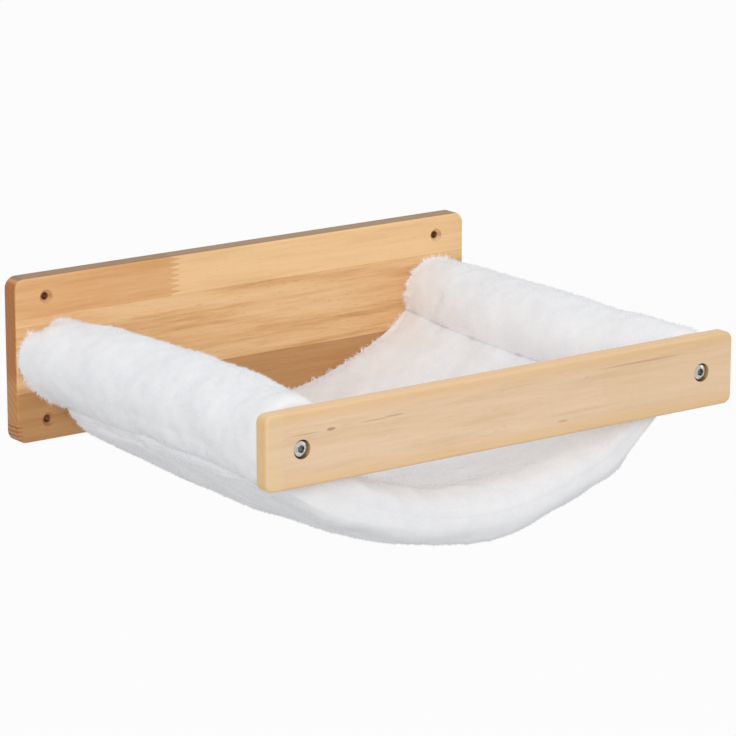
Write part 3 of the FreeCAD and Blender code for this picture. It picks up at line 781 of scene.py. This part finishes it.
def roll_section(side, share, inset):
    """Points round a roll in X and Z: seam, outer flank, top, inner side and back under the sling."""
    seam = seam_point(side, share)
    turns = np.linspace(ROLL_OUTER, ROLL_INNER, ARC_POINTS)
    arc = np.array([on_roll(side, share, turn, inset) for turn in turns])
    ways = np.linspace(0, 1, FLANK_POINTS, endpoint=False)
    fullness = FLANK_BULGE + TUCK_BULGE * tuck_at(side, share) - inset
    bulge = np.sin(math.pi * ways ** FLANK_SKEW) * fullness
    flank = seam + np.outer(ways, arc[0] - seam) + np.outer(bulge, [side, 0])
    ways = np.linspace(0, 1, UNDER_POINTS + 1, endpoint=False)[1:]
    under = arc[-1] + np.outer(ways, seam - arc[-1])
    return np.concatenate([flank, arc, under])


print("a roll's section has", len(roll_section(-1, 0.5, 0.0)), "points")

# %% [markdown]
# Two sleeves
#
# Each sleeve is the same tube, mirrored by its side, so one function builds both. Points on the bore, along
# the seam and at the ends are noted as held: the stuffing further down must not pull the sleeve off its rod
# or off the wood.

# %% Build the rolls
STATION_STEP, ROLL_ENDS = 4.0, (0.0, 0.8, 2.0, 4.0, 7.0)
UNDER_SHOWN = 3
ROLL_INSET, ROD_RADIUS, BORE_GAP = -0.4, 11.0, 0.5
# Length and depth of the rounding at a roll's end, at the board and at the rail
REAR_ROUND, FRONT_ROUND = (4.0, 1.4), (11.0, 4.6)


def remember_shown(piece, shown):
    """Keeps on each point whether it shows, from 0 to 1."""
    kept = piece.data.attributes.new("shown", "FLOAT", "POINT").data
    kept.foreach_set("value", np.asarray(shown, dtype=np.float32))


def make_roll(name, side):
    """A sleeve of plush round one rod; also returns the points that the stuffing must not move."""
    places = stations(STATION_STEP, ROLL_ENDS)
    centre = np.array([side * ROD_OFFSET, ROD_RISE])
    outer, bore = [], []
    for place in places:
        reach, inset = REAR_ROUND if place < LENGTH / 2 else FRONT_ROUND
        near = min(place, LENGTH - place, reach) / reach
        rounding = inset * (1 - math.sqrt(1 - (1 - near) ** 2))
        ring = roll_section(side, place / LENGTH, ROLL_INSET + rounding)
        way = (ring - centre) / np.linalg.norm(ring - centre, axis=1)[:, None]
        depth = np.full(ROLL_POINTS, depth_at(place))
        outer.append(np.column_stack([ring[:, 0], depth, ring[:, 1]]))
        inner = centre + way * (ROD_RADIUS + BORE_GAP)
        bore.append(np.column_stack([inner[:, 0], depth, inner[:, 1]]))
    rows = len(places)
    half_count = rows * ROLL_POINTS
    faces = ring_faces(rows, ROLL_POINTS)
    faces += [tuple(half_count + corner for corner in face) for face in faces]
    for row in (0, rows - 1):
        for column in range(ROLL_POINTS):
            a = row * ROLL_POINTS + column
            b = row * ROLL_POINTS + (column + 1) % ROLL_POINTS
            faces.append((a, b, half_count + b, half_count + a))
    piece = new_piece(name, np.concatenate(outer + bore), faces, plush_cloth)
    column = np.arange(half_count) % ROLL_POINTS
    row = np.arange(half_count) // ROLL_POINTS
    shown = column < FLANK_POINTS + ARC_POINTS + UNDER_SHOWN
    held = (column >= FLANK_POINTS + ARC_POINTS) | (column < 2) | (row == 0) | (row == rows - 1)
    remember_shown(piece, np.concatenate([shown, np.zeros(half_count)]))
    return piece, np.concatenate([held, np.ones(half_count, dtype=bool)])


rolls, held_points = {}, {}
for side_name, side in (("left", -1), ("right", 1)):
    roll, held_points[side_name + "_roll"] = make_roll(side_name + "_roll", side)
    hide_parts(side_name + "_sleeve")
    rolls[side_name] = roll
print("rolls:", {name: len(piece.data.polygons) for name, piece in rolls.items()}, "faces")

# %% [markdown]
# The sling
#
# Bowl, wadding and belly are three layers of one section: from roll to roll each layer's faces sag in two
# arcs that are level at the lowest line, a little left of the middle. Blender's cloth could hang a sheet
# between the rolls, but arcs hold the measured depth and keep the layers off each other. A layer runs from
# one share of the thickness to another, and thins to nothing at the sewn lips.

# %% Curves across the sling
HALF_CURVE = 42
BOWL_DEPTH = (62.0, 79.0, 59.0)
SLING_THICKNESS = (46.0, 39.0, 42.0)
LOW_SHIFT, LIP_LENGTH = 2.0, 20.0
# How far the lying surface falls and the underside rises at a sewn lip
REAR_LIP, FRONT_LIP = (1.0, 33.0), (17.0, 17.0)
BELLY_FULLNESS, FULLNESS_REACH = (9.0, 4.5, -2.0), 26.0
BOWL_EDGE_RISE, EDGE_REACH = 3.0, 8.0


def sleeve_side(side, share, way):
    """A point on the lower side of a sleeve, clear of it by the soft gap."""
    start = on_roll(side, share, ROLL_INNER)
    run = seam_point(side, share) - start
    away = np.array([side * run[1], -side * run[0]]) / np.linalg.norm(run)
    return start + run * way + away * SOFT_GAP


def sag(end, low):
    """Points on an arc from a sleeve down to the lowest point, where it is level."""
    run, rise = abs(end[0] - low[0]), end[1] - low[1]
    radius = (run * run + rise * rise) / (2 * rise)
    turns = np.linspace(math.asin(run / radius), 0, HALF_CURVE)
    reach = math.copysign(1, end[0] - low[0]) * radius * np.sin(turns)
    return np.column_stack([low[0] + reach, low[1] + radius * (1 - np.cos(turns))])


def lip_share(place):
    """0 at a sewn edge and 1 where the sling has its full thickness."""
    return min(place, LENGTH - place, LIP_LENGTH) / LIP_LENGTH


def sling_curve(place, way, raise_by):
    """Points across the sling from left to right; way 0 is the lying surface and way 1 the underside."""
    share = place / LENGTH
    rounding = 1 - math.sqrt(1 - (1 - lip_share(place)) ** 2)
    fall, lift = np.array(FRONT_LIP if share > 0.5 else REAR_LIP) * rounding
    highest = ROD_RISE - along(BOWL_DEPTH, share) - fall
    lowest = ROD_RISE - along(BOWL_DEPTH, share) - along(SLING_THICKNESS, share) + lift
    low = np.array([-LOW_SHIFT, highest + (lowest - highest) * way + raise_by])
    left, right = (sag(sleeve_side(side, share, way), low) for side in (-1, 1))
    flat = np.concatenate([left, right[-2::-1]])
    to_seam = np.minimum(flat[:, 0] - flat[0, 0], flat[-1, 0] - flat[:, 0])
    fullness = max(0, 2 * way - 1) * along(BELLY_FULLNESS, share)
    flat[:, 1] -= fullness * np.exp(-(to_seam / FULLNESS_REACH) ** 2)
    flat[:, 1] += max(0, 1 - 4 * way) * BOWL_EDGE_RISE * np.exp(-(to_seam / EDGE_REACH) ** 2)
    return np.column_stack([flat[:, 0], np.full(len(flat), depth_at(place)), flat[:, 1]])


print("lowest point of the belly: %.1f mm" % sling_curve(LENGTH / 2, 1, 0)[:, 2].min())

# %% [markdown]
# Closing a layer
#
# A layer is a thin cushion between an upper and a lower curve. Thickening a sheet with a modifier would
# give it the same thickness all over, but these layers thin out towards the sewn lips. So at each place
# along the sling the two curves are joined to a ring, and the rings to a closed mesh. Only the points of
# the face that shows may move when the layer is stuffed.

# %% Layers of the sling
PANEL_SHARE, CLOSED_WAY = 0.43, -0.03
# An inset's share at the sewn lips
LIP_INSET = 0.4


def core_way(place):
    """Half of the space between bowl and belly, as a share of the thickness."""
    return CLOSED_WAY + (0.5 - PANEL_SHARE - CLOSED_WAY) * lip_share(place) ** 2


def make_layer(name, node, places, ways, insets, material):
    """A closed layer of the sling; insets move its upper and lower face, and an inset face shows."""
    rings = []
    for place in places:
        upper_way, lower_way = ways(place)
        firm = LIP_INSET + (1 - LIP_INSET) * lip_share(place)
        upper_inset, lower_inset = (along(inset, place / LENGTH) * firm if inset else 0 for inset in insets)
        upper = sling_curve(place, upper_way, -upper_inset)
        lower = sling_curve(place, lower_way, lower_inset)
        rings.append(np.concatenate([upper, lower[::-1]]))
    columns = len(rings[0])
    faces = ring_faces(len(rings), columns)
    for row in (0, len(rings) - 1):
        for step in range(columns // 2 - 1):
            a, b = row * columns + step, row * columns + columns - 1 - step
            faces.append((a, a + 1, b - 1, b))
    piece = new_piece(name, np.concatenate(rings), faces, material)
    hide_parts(node)
    column = np.arange(len(rings) * columns) % columns
    row = np.arange(len(rings) * columns) // columns
    is_upper = column < columns // 2
    shown = (is_upper if insets[0] else ~is_upper) | (row == len(rings) - 1)
    edge = (column % (columns // 2) < 2) | (column % (columns // 2) > columns // 2 - 3)
    remember_shown(piece, shown)
    return piece, ~shown | edge | (row == 0) | (row == len(rings) - 1)


print("space between the panels half way: %.0f%% of the thickness" % (200 * core_way(LENGTH / 2)))

# %% Build bowl, belly and wadding
LIP_PLACES = (0.0, 0.4, 1.2, 2.6, 4.6, 7.2, 10.4, 14.2, 18.0)
BOWL_INSET = (2.0, 2.0, 2.0)
BELLY_INSET = (-1.5, 1.5, -0.8)
WADDING_ENDS, WADDING_ROWS, WADDING_WAYS = 20.0, 60, (0.455, 0.545)
wadding_finish = plush_finish("wadding_fill", linear(238, 238, 236), linear(216, 216, 214), 0.0, 0.003)
places = stations(STATION_STEP, LIP_PLACES)
bowl, held_points["bowl_panel"] = make_layer(
    "bowl_panel", "sling_top_panel", places, lambda place: (0, 0.5 - core_way(place)), (BOWL_INSET, 0),
    plush_cloth)
belly, held_points["belly_panel"] = make_layer(
    "belly_panel", "sling_base_panel", places, lambda place: (0.5 + core_way(place), 1), (0, BELLY_INSET),
    plush_cloth)
wadding_places = np.linspace(WADDING_ENDS, LENGTH - WADDING_ENDS, WADDING_ROWS)
wadding, _ = make_layer("wadding_core", "sling_wadding", wadding_places, lambda place: WADDING_WAYS, (0, 0),
                        wadding_finish)
print("sling layers:", [len(piece.data.polygons) for piece in (bowl, belly, wadding)], "faces")

# %% [markdown]
# Stuffing
#
# The real sling is stuffed, and the stuffing presses its cloth out between the seams. Blender's cloth can
# do the same: a little pressure from inside, no gravity, and the points at the seams held. The forms above
# are drawn lean, and the pressure fills them out. No point may move more than a few millimetres.

# %% Press from inside
PRESSURE, LAST_FRAME = 4.0, 20


def points_of(mesh):
    """A mesh's points in millimetres."""
    flat = np.empty(len(mesh.vertices) * 3)
    mesh.vertices.foreach_get("co", flat)
    return flat.reshape(-1, 3) / MM


def move_points(mesh, points):
    """Puts a mesh's points, in millimetres."""
    mesh.vertices.foreach_set("co", (points * MM).ravel())
    mesh.update()


def stuff(piece, held, most):
    """Presses a closed piece out from inside, with some points held; gives the largest uncapped move."""
    start = points_of(piece.data)
    piece.vertex_groups.new(name="held").add(np.flatnonzero(held).tolist(), 1.0, "REPLACE")
    stuffing = piece.modifiers.new("stuffing", "CLOTH")
    stuffing.settings.vertex_group_mass = "held"
    stuffing.settings.use_pressure = True
    stuffing.settings.uniform_pressure_force = PRESSURE
    stuffing.settings.effector_weights.gravity = 0
    stuffing.collision_settings.use_collision = False
    stuffing.point_cache.frame_end = LAST_FRAME
    for frame_number in range(1, LAST_FRAME + 1):
        scene.frame_set(frame_number)
    pressed = points_of(piece.evaluated_get(bpy.context.evaluated_depsgraph_get()).data)
    piece.modifiers.remove(stuffing)
    piece.vertex_groups.clear()
    scene.frame_set(1)
    move = pressed - start
    length = np.maximum(np.linalg.norm(move, axis=1), 1e-6)
    move_points(piece.data, start + move * (most * np.tanh(length / most) / length)[:, None])
    return length.max()


print("pressure", PRESSURE, "over", LAST_FRAME, "frames")

# %% Stuff the plush
MOST_SWELL = {"left_roll": 2.0, "right_roll": 2.0, "bowl_panel": 3.0, "belly_panel": 3.0}
plush_pieces = [*rolls.values(), bowl, belly]
for piece in plush_pieces:
    pressed_out = stuff(piece, held_points[piece.name], MOST_SWELL[piece.name])
    print(piece.name, "pressed out by up to %.1f mm" % pressed_out)

# %% [markdown]
# Lumps in the plush
#
# No stuffed cloth is even. A Displace modifier with a noise texture could push its surface in and out. Here
# a smooth random field does it, by about a millimetre: the sum of a few dozen waves in random directions.
# It also tells its slope, which the tufts use later to lean together in clumps. A few larger bumps and
# dents are listed one by one, on the front lip and where the rolls meet the wood.

# %% A random field
def random_field(seed, wavelength, waves=40):
    """A smooth random field: a function that gives its height and its slope at points in millimetres."""
    draw = np.random.default_rng(seed)
    ways = draw.normal(size=(waves, 3))
    ways /= np.linalg.norm(ways, axis=1)[:, None]
    vectors = ways * (2 * math.pi / (wavelength * draw.uniform(0.7, 1.5, waves)))[:, None]
    phases = draw.uniform(0, 2 * math.pi, waves)
    scale = math.sqrt(2 / waves)

    def field(points):
        turns = points @ vectors.T + phases
        return np.cos(turns).sum(1) * scale, -(np.sin(turns) @ vectors) * scale

    return field


large_lumps = random_field(11, 58.0)
small_lumps = random_field(12, 17.0)
rail_middle = np.array([[0.0, depth_at(LENGTH), 0.0]])
print("large lumps at the rail's middle: %.2f of their height" % large_lumps(rail_middle)[0][0])

# %% Push the plush in and out
def normals_of(mesh):
    """The normals at a mesh's points."""
    flat = np.empty(len(mesh.vertices) * 3)
    mesh.vertex_normals.foreach_get("vector", flat)
    return flat.reshape(-1, 3)


def subdivide(piece):
    """Rounds a mesh by one subdivision."""
    rounding = piece.modifiers.new("rounding", "SUBSURF")
    rounding.levels = rounding.render_levels = 1
    mesh = bpy.data.meshes.new_from_object(piece.evaluated_get(bpy.context.evaluated_depsgraph_get()))
    piece.modifiers.remove(rounding)
    old = piece.data
    piece.data = mesh
    bpy.data.meshes.remove(old)
    mesh.name = piece.name


LARGE_LUMP, SMALL_LUMP, CALM_ENDS = 0.7, 0.22, 6.0
# Bumps and dents, one by one: place, radius and move in millimetres
BUMPS = [((115, -316, -68), 20, (5.0, 0, -4.0)), ((97, -318, -76), 8, (-0.8, 0, 1.6)),
         ((130, -316, -55), 8, (-1.2, 0, 0.9)), ((-95, -305, -90), 30, (0, 0, 4.5)),
         ((-188, -16, 26), 10, (4.6, 0, -8.0)), ((-172, -16, 31), 9, (0, 0, 1.0)),
         ((-170, -18, -50), 14, (7.0, 0, 1.5)), ((188, -285, 34), 55, (0, 0, -3.2))]


def make_lumpy(piece):
    """Pushes a piece's points along their normals, but not the ends that lie against the wood."""
    mesh = piece.data
    points = points_of(mesh)
    ends = np.minimum(points[:, 1] - depth_at(LENGTH), depth_at(0) - points[:, 1])
    push = LARGE_LUMP * large_lumps(points)[0] + SMALL_LUMP * small_lumps(points)[0]
    push *= np.clip(ends / CALM_ENDS, 0, 1)
    moved = points + normals_of(mesh) * push[:, None]
    for place, radius, move in BUMPS:
        moved += np.outer(np.exp(-((points - place) ** 2).sum(1) / radius ** 2), move)
    move_points(mesh, moved)
    return push


for piece in plush_pieces:
    subdivide(piece)
    push = make_lumpy(piece)
    print(piece.name, "lumps from %.1f to %.1f mm" % (push.min(), push.max()))

# %% [markdown]
# Hems
#
# Under each roll the cloth of roll and belly is folded into a narrow hem and stitched. On the real sling it
# is a paler strip below the dark fold of the seam. A bevelled curve could follow the seam, but the hem also
# tapers and wavers a little, as sewn cloth does. So a rounded section is swept along the seam ring by ring.

# %% Fold the hems
HEM_WIDTH, HEM_THICK, HEM_TUCKED, HEM_SLOPE = 11.0, 4.4, 2.4, math.radians(68)
HEM_POINTS, HEM_STEP, HEM_ENDS, HEM_TAPER = 14, 3.0, (10.0, 8.0), (16.0, 44.0)
WAVER_DOWN, WAVER_OUT = 0.35, 0.3
hem_waver = random_field(13, 42.0)


def hem_place(side, place, down, out):
    """A point of the hem's section: so far down from the seam and so far out of the hem's middle face."""
    seam = seam_point(side, place / LENGTH)
    way_down = np.array([-side * math.cos(HEM_SLOPE), -math.sin(HEM_SLOPE)])
    way_out = np.array([side * math.sin(HEM_SLOPE), -math.cos(HEM_SLOPE)])
    waver = hem_waver(np.array([[seam[0], depth_at(place), 0.0]]))[0][0]
    spot = seam + way_down * (down + WAVER_DOWN * waver) + way_out * (out + WAVER_OUT * waver)
    return np.array([spot[0], depth_at(place), spot[1]])


def make_hem(name, side):
    """The folded strip under one roll's seam."""
    places = np.arange(HEM_ENDS[0], LENGTH - HEM_ENDS[1], HEM_STEP)
    turns = np.arange(HEM_POINTS) * 2 * math.pi / HEM_POINTS
    across = np.cos(turns) * HEM_WIDTH / 2 + HEM_WIDTH / 2 - HEM_TUCKED
    out = np.sin(turns) * HEM_THICK / 2
    points = []
    for place in places:
        from_ends = (place - places[0] + 0.5) / HEM_TAPER[0], (places[-1] - place + 0.5) / HEM_TAPER[1]
        fullness = math.sqrt(min(1, *from_ends))
        section = np.column_stack([across, out]) * fullness
        points += [hem_place(side, place, down, rise) for down, rise in section]
    faces = ring_faces(len(places), HEM_POINTS)
    last = (len(places) - 1) * HEM_POINTS
    faces += [tuple(range(HEM_POINTS)), tuple(range(last, last + HEM_POINTS))]
    piece = new_piece(name, points, faces, plush_cloth)
    subdivide(piece)
    remember_shown(piece, np.ones(len(piece.data.vertices)))
    return piece


print("a hem is", HEM_WIDTH, "mm wide and", HEM_THICK, "mm thick")

# %% [markdown]
# Stitches
#
# A seam is sewn with thread, and each stitch shows as a short bead that dips into the cloth at both ends.
# They could be drawn as bump in the finish, but bump has no outline and is lost in the exported mesh. So
# each stitch is five small rings along the hem, and all stitches of a side are one mesh.

# %% Sew the hems
STITCH_PITCH, STITCH_LENGTH, STITCH_RADIUS, STITCH_DOWN = 4.6, 3.3, 0.32, 2.6
STITCH_OUT, STITCH_SIDES = HEM_THICK / 2 - 0.05, 6
# The rings of a stitch: their place along it and their share of its radius
STITCH_RINGS = ((-0.5, 0.25), (-0.38, 0.8), (0.0, 1.0), (0.38, 0.8), (0.5, 0.25))


def make_stitches(name, side):
    """A row of thread beads along the hem."""
    points, faces = [], []
    turns = np.arange(STITCH_SIDES) * 2 * math.pi / STITCH_SIDES
    for place in np.arange(HEM_ENDS[0] + HEM_TAPER[0], LENGTH - HEM_ENDS[1] - HEM_TAPER[1], STITCH_PITCH):
        start = len(points)
        for step, size in STITCH_RINGS:
            radius = STITCH_RADIUS * size
            for turn in turns:
                down = STITCH_DOWN + radius * math.cos(turn)
                out = STITCH_OUT + radius * math.sin(turn)
                points.append(hem_place(side, place + step * STITCH_LENGTH, down, out))
        sides = ring_faces(len(STITCH_RINGS), STITCH_SIDES)
        faces += [tuple(start + corner for corner in face) for face in sides]
        last = len(points) - STITCH_SIDES
        faces += [tuple(range(start, start + STITCH_SIDES)), tuple(range(last, len(points)))]
    return new_piece(name, points, faces, sewing_thread)


sewing_thread = plush_finish("sewing_thread", linear(236, 236, 238), linear(214, 214, 218), 0.3, 0.0003)
hems = {}
for side_name, side in (("left", -1), ("right", 1)):
    hems[side_name] = make_hem(side_name + "_hem", side)
    stitches = make_stitches(side_name + "_stitches", side)
print("hems:", {name: len(piece.data.polygons) for name, piece in hems.items()}, "faces;",
      len(stitches.data.vertices) // (STITCH_SIDES * len(STITCH_RINGS)), "stitches on each")

# %% [markdown]
# The pile
#
# Fleece has far more fibres than a model can hold. Hair strands would draw many of them, but they don't go
# into an exported model, so the pile is a mesh of slim closed tufts with three sides and a tip. Each tuft
# takes the normal of the cloth under it, tilted a little by a random field, and lies with its ridge
# upwards, so it catches the light as the soft surface does and only the outline is fuzzy. The tufts hold
# back no light from each other, because light passes through fleece.

# %% Spread the roots
SHOWN_ENOUGH = 0.6


def unit(vectors):
    """Vectors of length 1."""
    return vectors / np.maximum(np.linalg.norm(vectors, axis=1), 1e-9)[:, None]


def spread_roots(mesh, count, draw):
    """Roots spread evenly over the part of a mesh that shows: their places and the cloth's normals there."""
    mesh.calc_loop_triangles()
    corners = np.empty(len(mesh.loop_triangles) * 3, dtype=np.int64)
    mesh.loop_triangles.foreach_get("vertices", corners)
    corners = corners.reshape(-1, 3)
    shown = np.empty(len(mesh.vertices))
    mesh.attributes["shown"].data.foreach_get("value", shown)
    points, normals = points_of(mesh), normals_of(mesh)
    a, b, c = (points[corners[:, k]] for k in range(3))
    area = np.linalg.norm(np.cross(b - a, c - a), axis=1) / 2
    total = np.cumsum(area * (shown[corners].mean(1) > SHOWN_ENOUGH))
    picks = np.searchsorted(total, (np.arange(count) + draw.random(count)) / count * total[-1])
    picks = np.minimum(picks, len(total) - 1)
    first, second = np.sqrt(draw.random(count)), draw.random(count)
    shares = np.column_stack([1 - first, first * (1 - second), first * second])
    places = (points[corners[picks]] * shares[:, :, None]).sum(1)
    return places, unit((normals[corners[picks]] * shares[:, :, None]).sum(1))


print("roots can be spread over", len(plush_pieces) + len(hems), "pieces")

# %% [markdown]
# How the tufts lie
#
# Brushed fleece lies downwards, in clumps of a few millimetres, and stands out in a fringe at its cut edge
# by the board. It could be combed by hand in Blender's sculpt mode, but then every change to the sling
# would mean combing again. A random field does it the same way each run: its slope tells which way a clump
# leans, and another field makes the fringe longer here and shorter there.

# %% Grow the tips
COMBED = np.array([0.0, -0.25, -1.0])
CLUMP_LEAN, STRAY_LEAN, LEAN_LEAST, LEAN_MOST = 1.6, 0.5, 1.0, 1.4
TALL_LEAST, TALL_MOST = 0.6, 1.2
FRINGE_REACH, FRINGE_LENGTH, FRINGE_MOST, FRINGE_LIFT, FRINGE_TURN = 9.0, 0.6, 1.6, 0.45, 1.3
RAIL_BOTTOM, UNDER_RAIL, PAST_ENDS = -26.5, 3.0, 0.2
clumping = random_field(21, 8.0)
mottling = random_field(22, 15.0)


def grow_tips(roots, normals, length, draw):
    """Where the tufts end and the way they face: they lie downwards, in clumps, and fan out at the board."""
    count = len(roots)
    slope = clumping(roots)[1]
    height = mottling(roots)[0]
    lie = COMBED + CLUMP_LEAN * slope + STRAY_LEAN * draw.normal(size=(count, 3))
    lie -= (lie * normals).sum(1)[:, None] * normals
    fringe = np.exp((roots[:, 1] - depth_at(0)) / FRINGE_REACH)
    longer = FRINGE_LENGTH * fringe * np.clip(0.6 + 0.6 * height, 0, FRINGE_MOST)
    tall = length * draw.uniform(TALL_LEAST, TALL_MOST, count) * (1 + longer)
    lean = draw.uniform(LEAN_LEAST, LEAN_MOST, count) * (1 - FRINGE_LIFT * fringe)
    tips = roots + tall[:, None] * (np.cos(lean)[:, None] * normals + np.sin(lean)[:, None] * unit(lie))
    under_rail = np.where(tips[:, 2] < RAIL_BOTTOM, UNDER_RAIL, 0.0)
    furthest = depth_at(LENGTH) - PAST_ENDS - under_rail
    tips[:, 1] = np.clip(tips[:, 1], furthest, depth_at(0) + PAST_ENDS)
    return tips, unit(normals + FRINGE_TURN * fringe[:, None] * np.array([0.0, -1.0, 0.0]))


print("fringe at the board: tufts up to %.0f%% longer" % (100 * FRINGE_LENGTH * FRINGE_MOST))

# %% [markdown]
# Tufts as a mesh
#
# Tens of thousands of small objects would slow Blender down, so all tufts of a piece are one mesh. Its
# points and faces go in as whole arrays, which is far quicker than one by one. Custom normals let each tuft
# take the light as the cloth under it does. A map called OFBake tells an export where the colour of each
# tuft goes.

# %% Build the tufts
TUFT_SECTION = ((0.0, 0.2), (-1.0, -0.1), (1.0, -0.1))
TUFT_SIDES = ((1, 0, 3), (2, 1, 3), (0, 2, 3), (0, 1, 2))
ROOT_DEPTH, SHADE_TILT = 0.6, 0.12
# Where the four points of a tuft lie on the map, counted from its root's place
MAP_OFFSETS = np.array([(0.003, 0), (-0.0015, 0.0026), (-0.0015, -0.0026), (0, 0)])


def make_pile(name, piece, count, seed, length, radius, map_place):
    """Tufts on a piece; map_place gives where a root lies on the map that an export bakes colours to."""
    draw = np.random.default_rng(seed)
    roots, normals = spread_roots(piece.data, count, draw)
    tips, facing = grow_tips(roots, normals, length, draw)
    side_way = unit(np.cross(tips - roots, facing))
    up_way = unit(np.cross(side_way, tips - roots))
    foot = roots - ROOT_DEPTH * normals
    ring = [foot + radius * (across * side_way + up * up_way) for across, up in TUFT_SECTION]
    points = np.stack(ring + [tips], axis=1).reshape(-1, 3)
    starts = np.arange(count)[:, None] * (len(ring) + 1)
    corners = np.concatenate([starts + np.array(side) for side in TUFT_SIDES], axis=1).reshape(-1)
    mesh = bpy.data.meshes.new(name)
    mesh.vertices.add(len(points))
    mesh.vertices.foreach_set("co", (points * MM).ravel())
    mesh.loops.add(len(corners))
    mesh.loops.foreach_set("vertex_index", corners)
    mesh.polygons.add(len(corners) // 3)
    mesh.polygons.foreach_set("loop_start", np.arange(0, len(corners), 3))
    mesh.update(calc_edges=True)
    mesh.polygons.foreach_set("use_smooth", np.ones(len(corners) // 3, dtype=bool))
    shading = unit(facing - SHADE_TILT * mottling(roots)[1])
    side_normals = np.stack([shading, -up_way, shading, -normals], axis=1)
    mesh.normals_split_custom_set(np.repeat(side_normals, 3, axis=1).reshape(-1, 3).tolist())
    spots = (map_place(roots)[:, None, :] + MAP_OFFSETS).reshape(-1, 2)[corners]
    mesh.uv_layers.new(name="OFBake").uv.foreach_set("vector", spots.astype(np.float32).ravel())
    mesh.materials.append(plush_pile)
    pile = bpy.data.objects.new(name, mesh)
    pile.visible_shadow = False
    pile.visible_diffuse = False
    scene.collection.objects.link(pile)
    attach(pile, "hammock")
    return pile


print("a tuft has", len(TUFT_SIDES), "faces")

# %% [markdown]
# Pile on every piece
#
# Rolls, hems and panels all carry pile, with its length and thickness set to each. Blender could map the
# tufts by itself, but it would give every tuft a patch of its own. These maps follow the cloth, along and
# round a roll or along and across a panel, so neighbouring tufts take neighbouring colours. Each piece has
# a seed, so the pile is the same in every run.

# %% Sew on the pile
MAP_WIDTH, MAP_ROUND = 420.0, 0.47


def along_share(roots):
    """How far along the sling each root lies, from 0.02 to 0.98."""
    return 0.02 + 0.96 * (-roots[:, 1] - BOARD_FRONT) / CLEAR_SPAN


def roll_map(side):
    """The map of a roll: along it and round it."""
    def place(roots):
        turn = np.arctan2(roots[:, 2] - ROD_RISE, -side * (roots[:, 0] - side * ROD_OFFSET))
        return np.column_stack([along_share(roots), 0.5 + MAP_ROUND * turn / math.pi])
    return place


def sling_map(roots):
    """The map of a panel or hem: along it and across it."""
    return np.column_stack([along_share(roots), 0.5 + roots[:, 0] / MAP_WIDTH])


# The pieces that carry pile: name, piece, number of tufts, seed, length and radius in millimetres, map
CARRIERS = [
    ("left_roll_pile", rolls["left"], 40000, 31, 3.6, 0.22, roll_map(-1)),
    ("left_hem_pile", hems["left"], 7000, 35, 3.0, 0.2, sling_map),
    ("right_roll_pile", rolls["right"], 40000, 33, 3.6, 0.22, roll_map(1)),
    ("right_hem_pile", hems["right"], 7000, 37, 3.0, 0.2, sling_map),
    ("bowl_pile", bowl, 48000, 41, 3.6, 0.24, sling_map),
    ("belly_pile", belly, 48000, 42, 3.0, 0.24, sling_map),
]
piles = [make_pile(*carrier) for carrier in CARRIERS]
print("tufts:", {pile.name: len(pile.data.polygons) // len(TUFT_SIDES) for pile in piles})
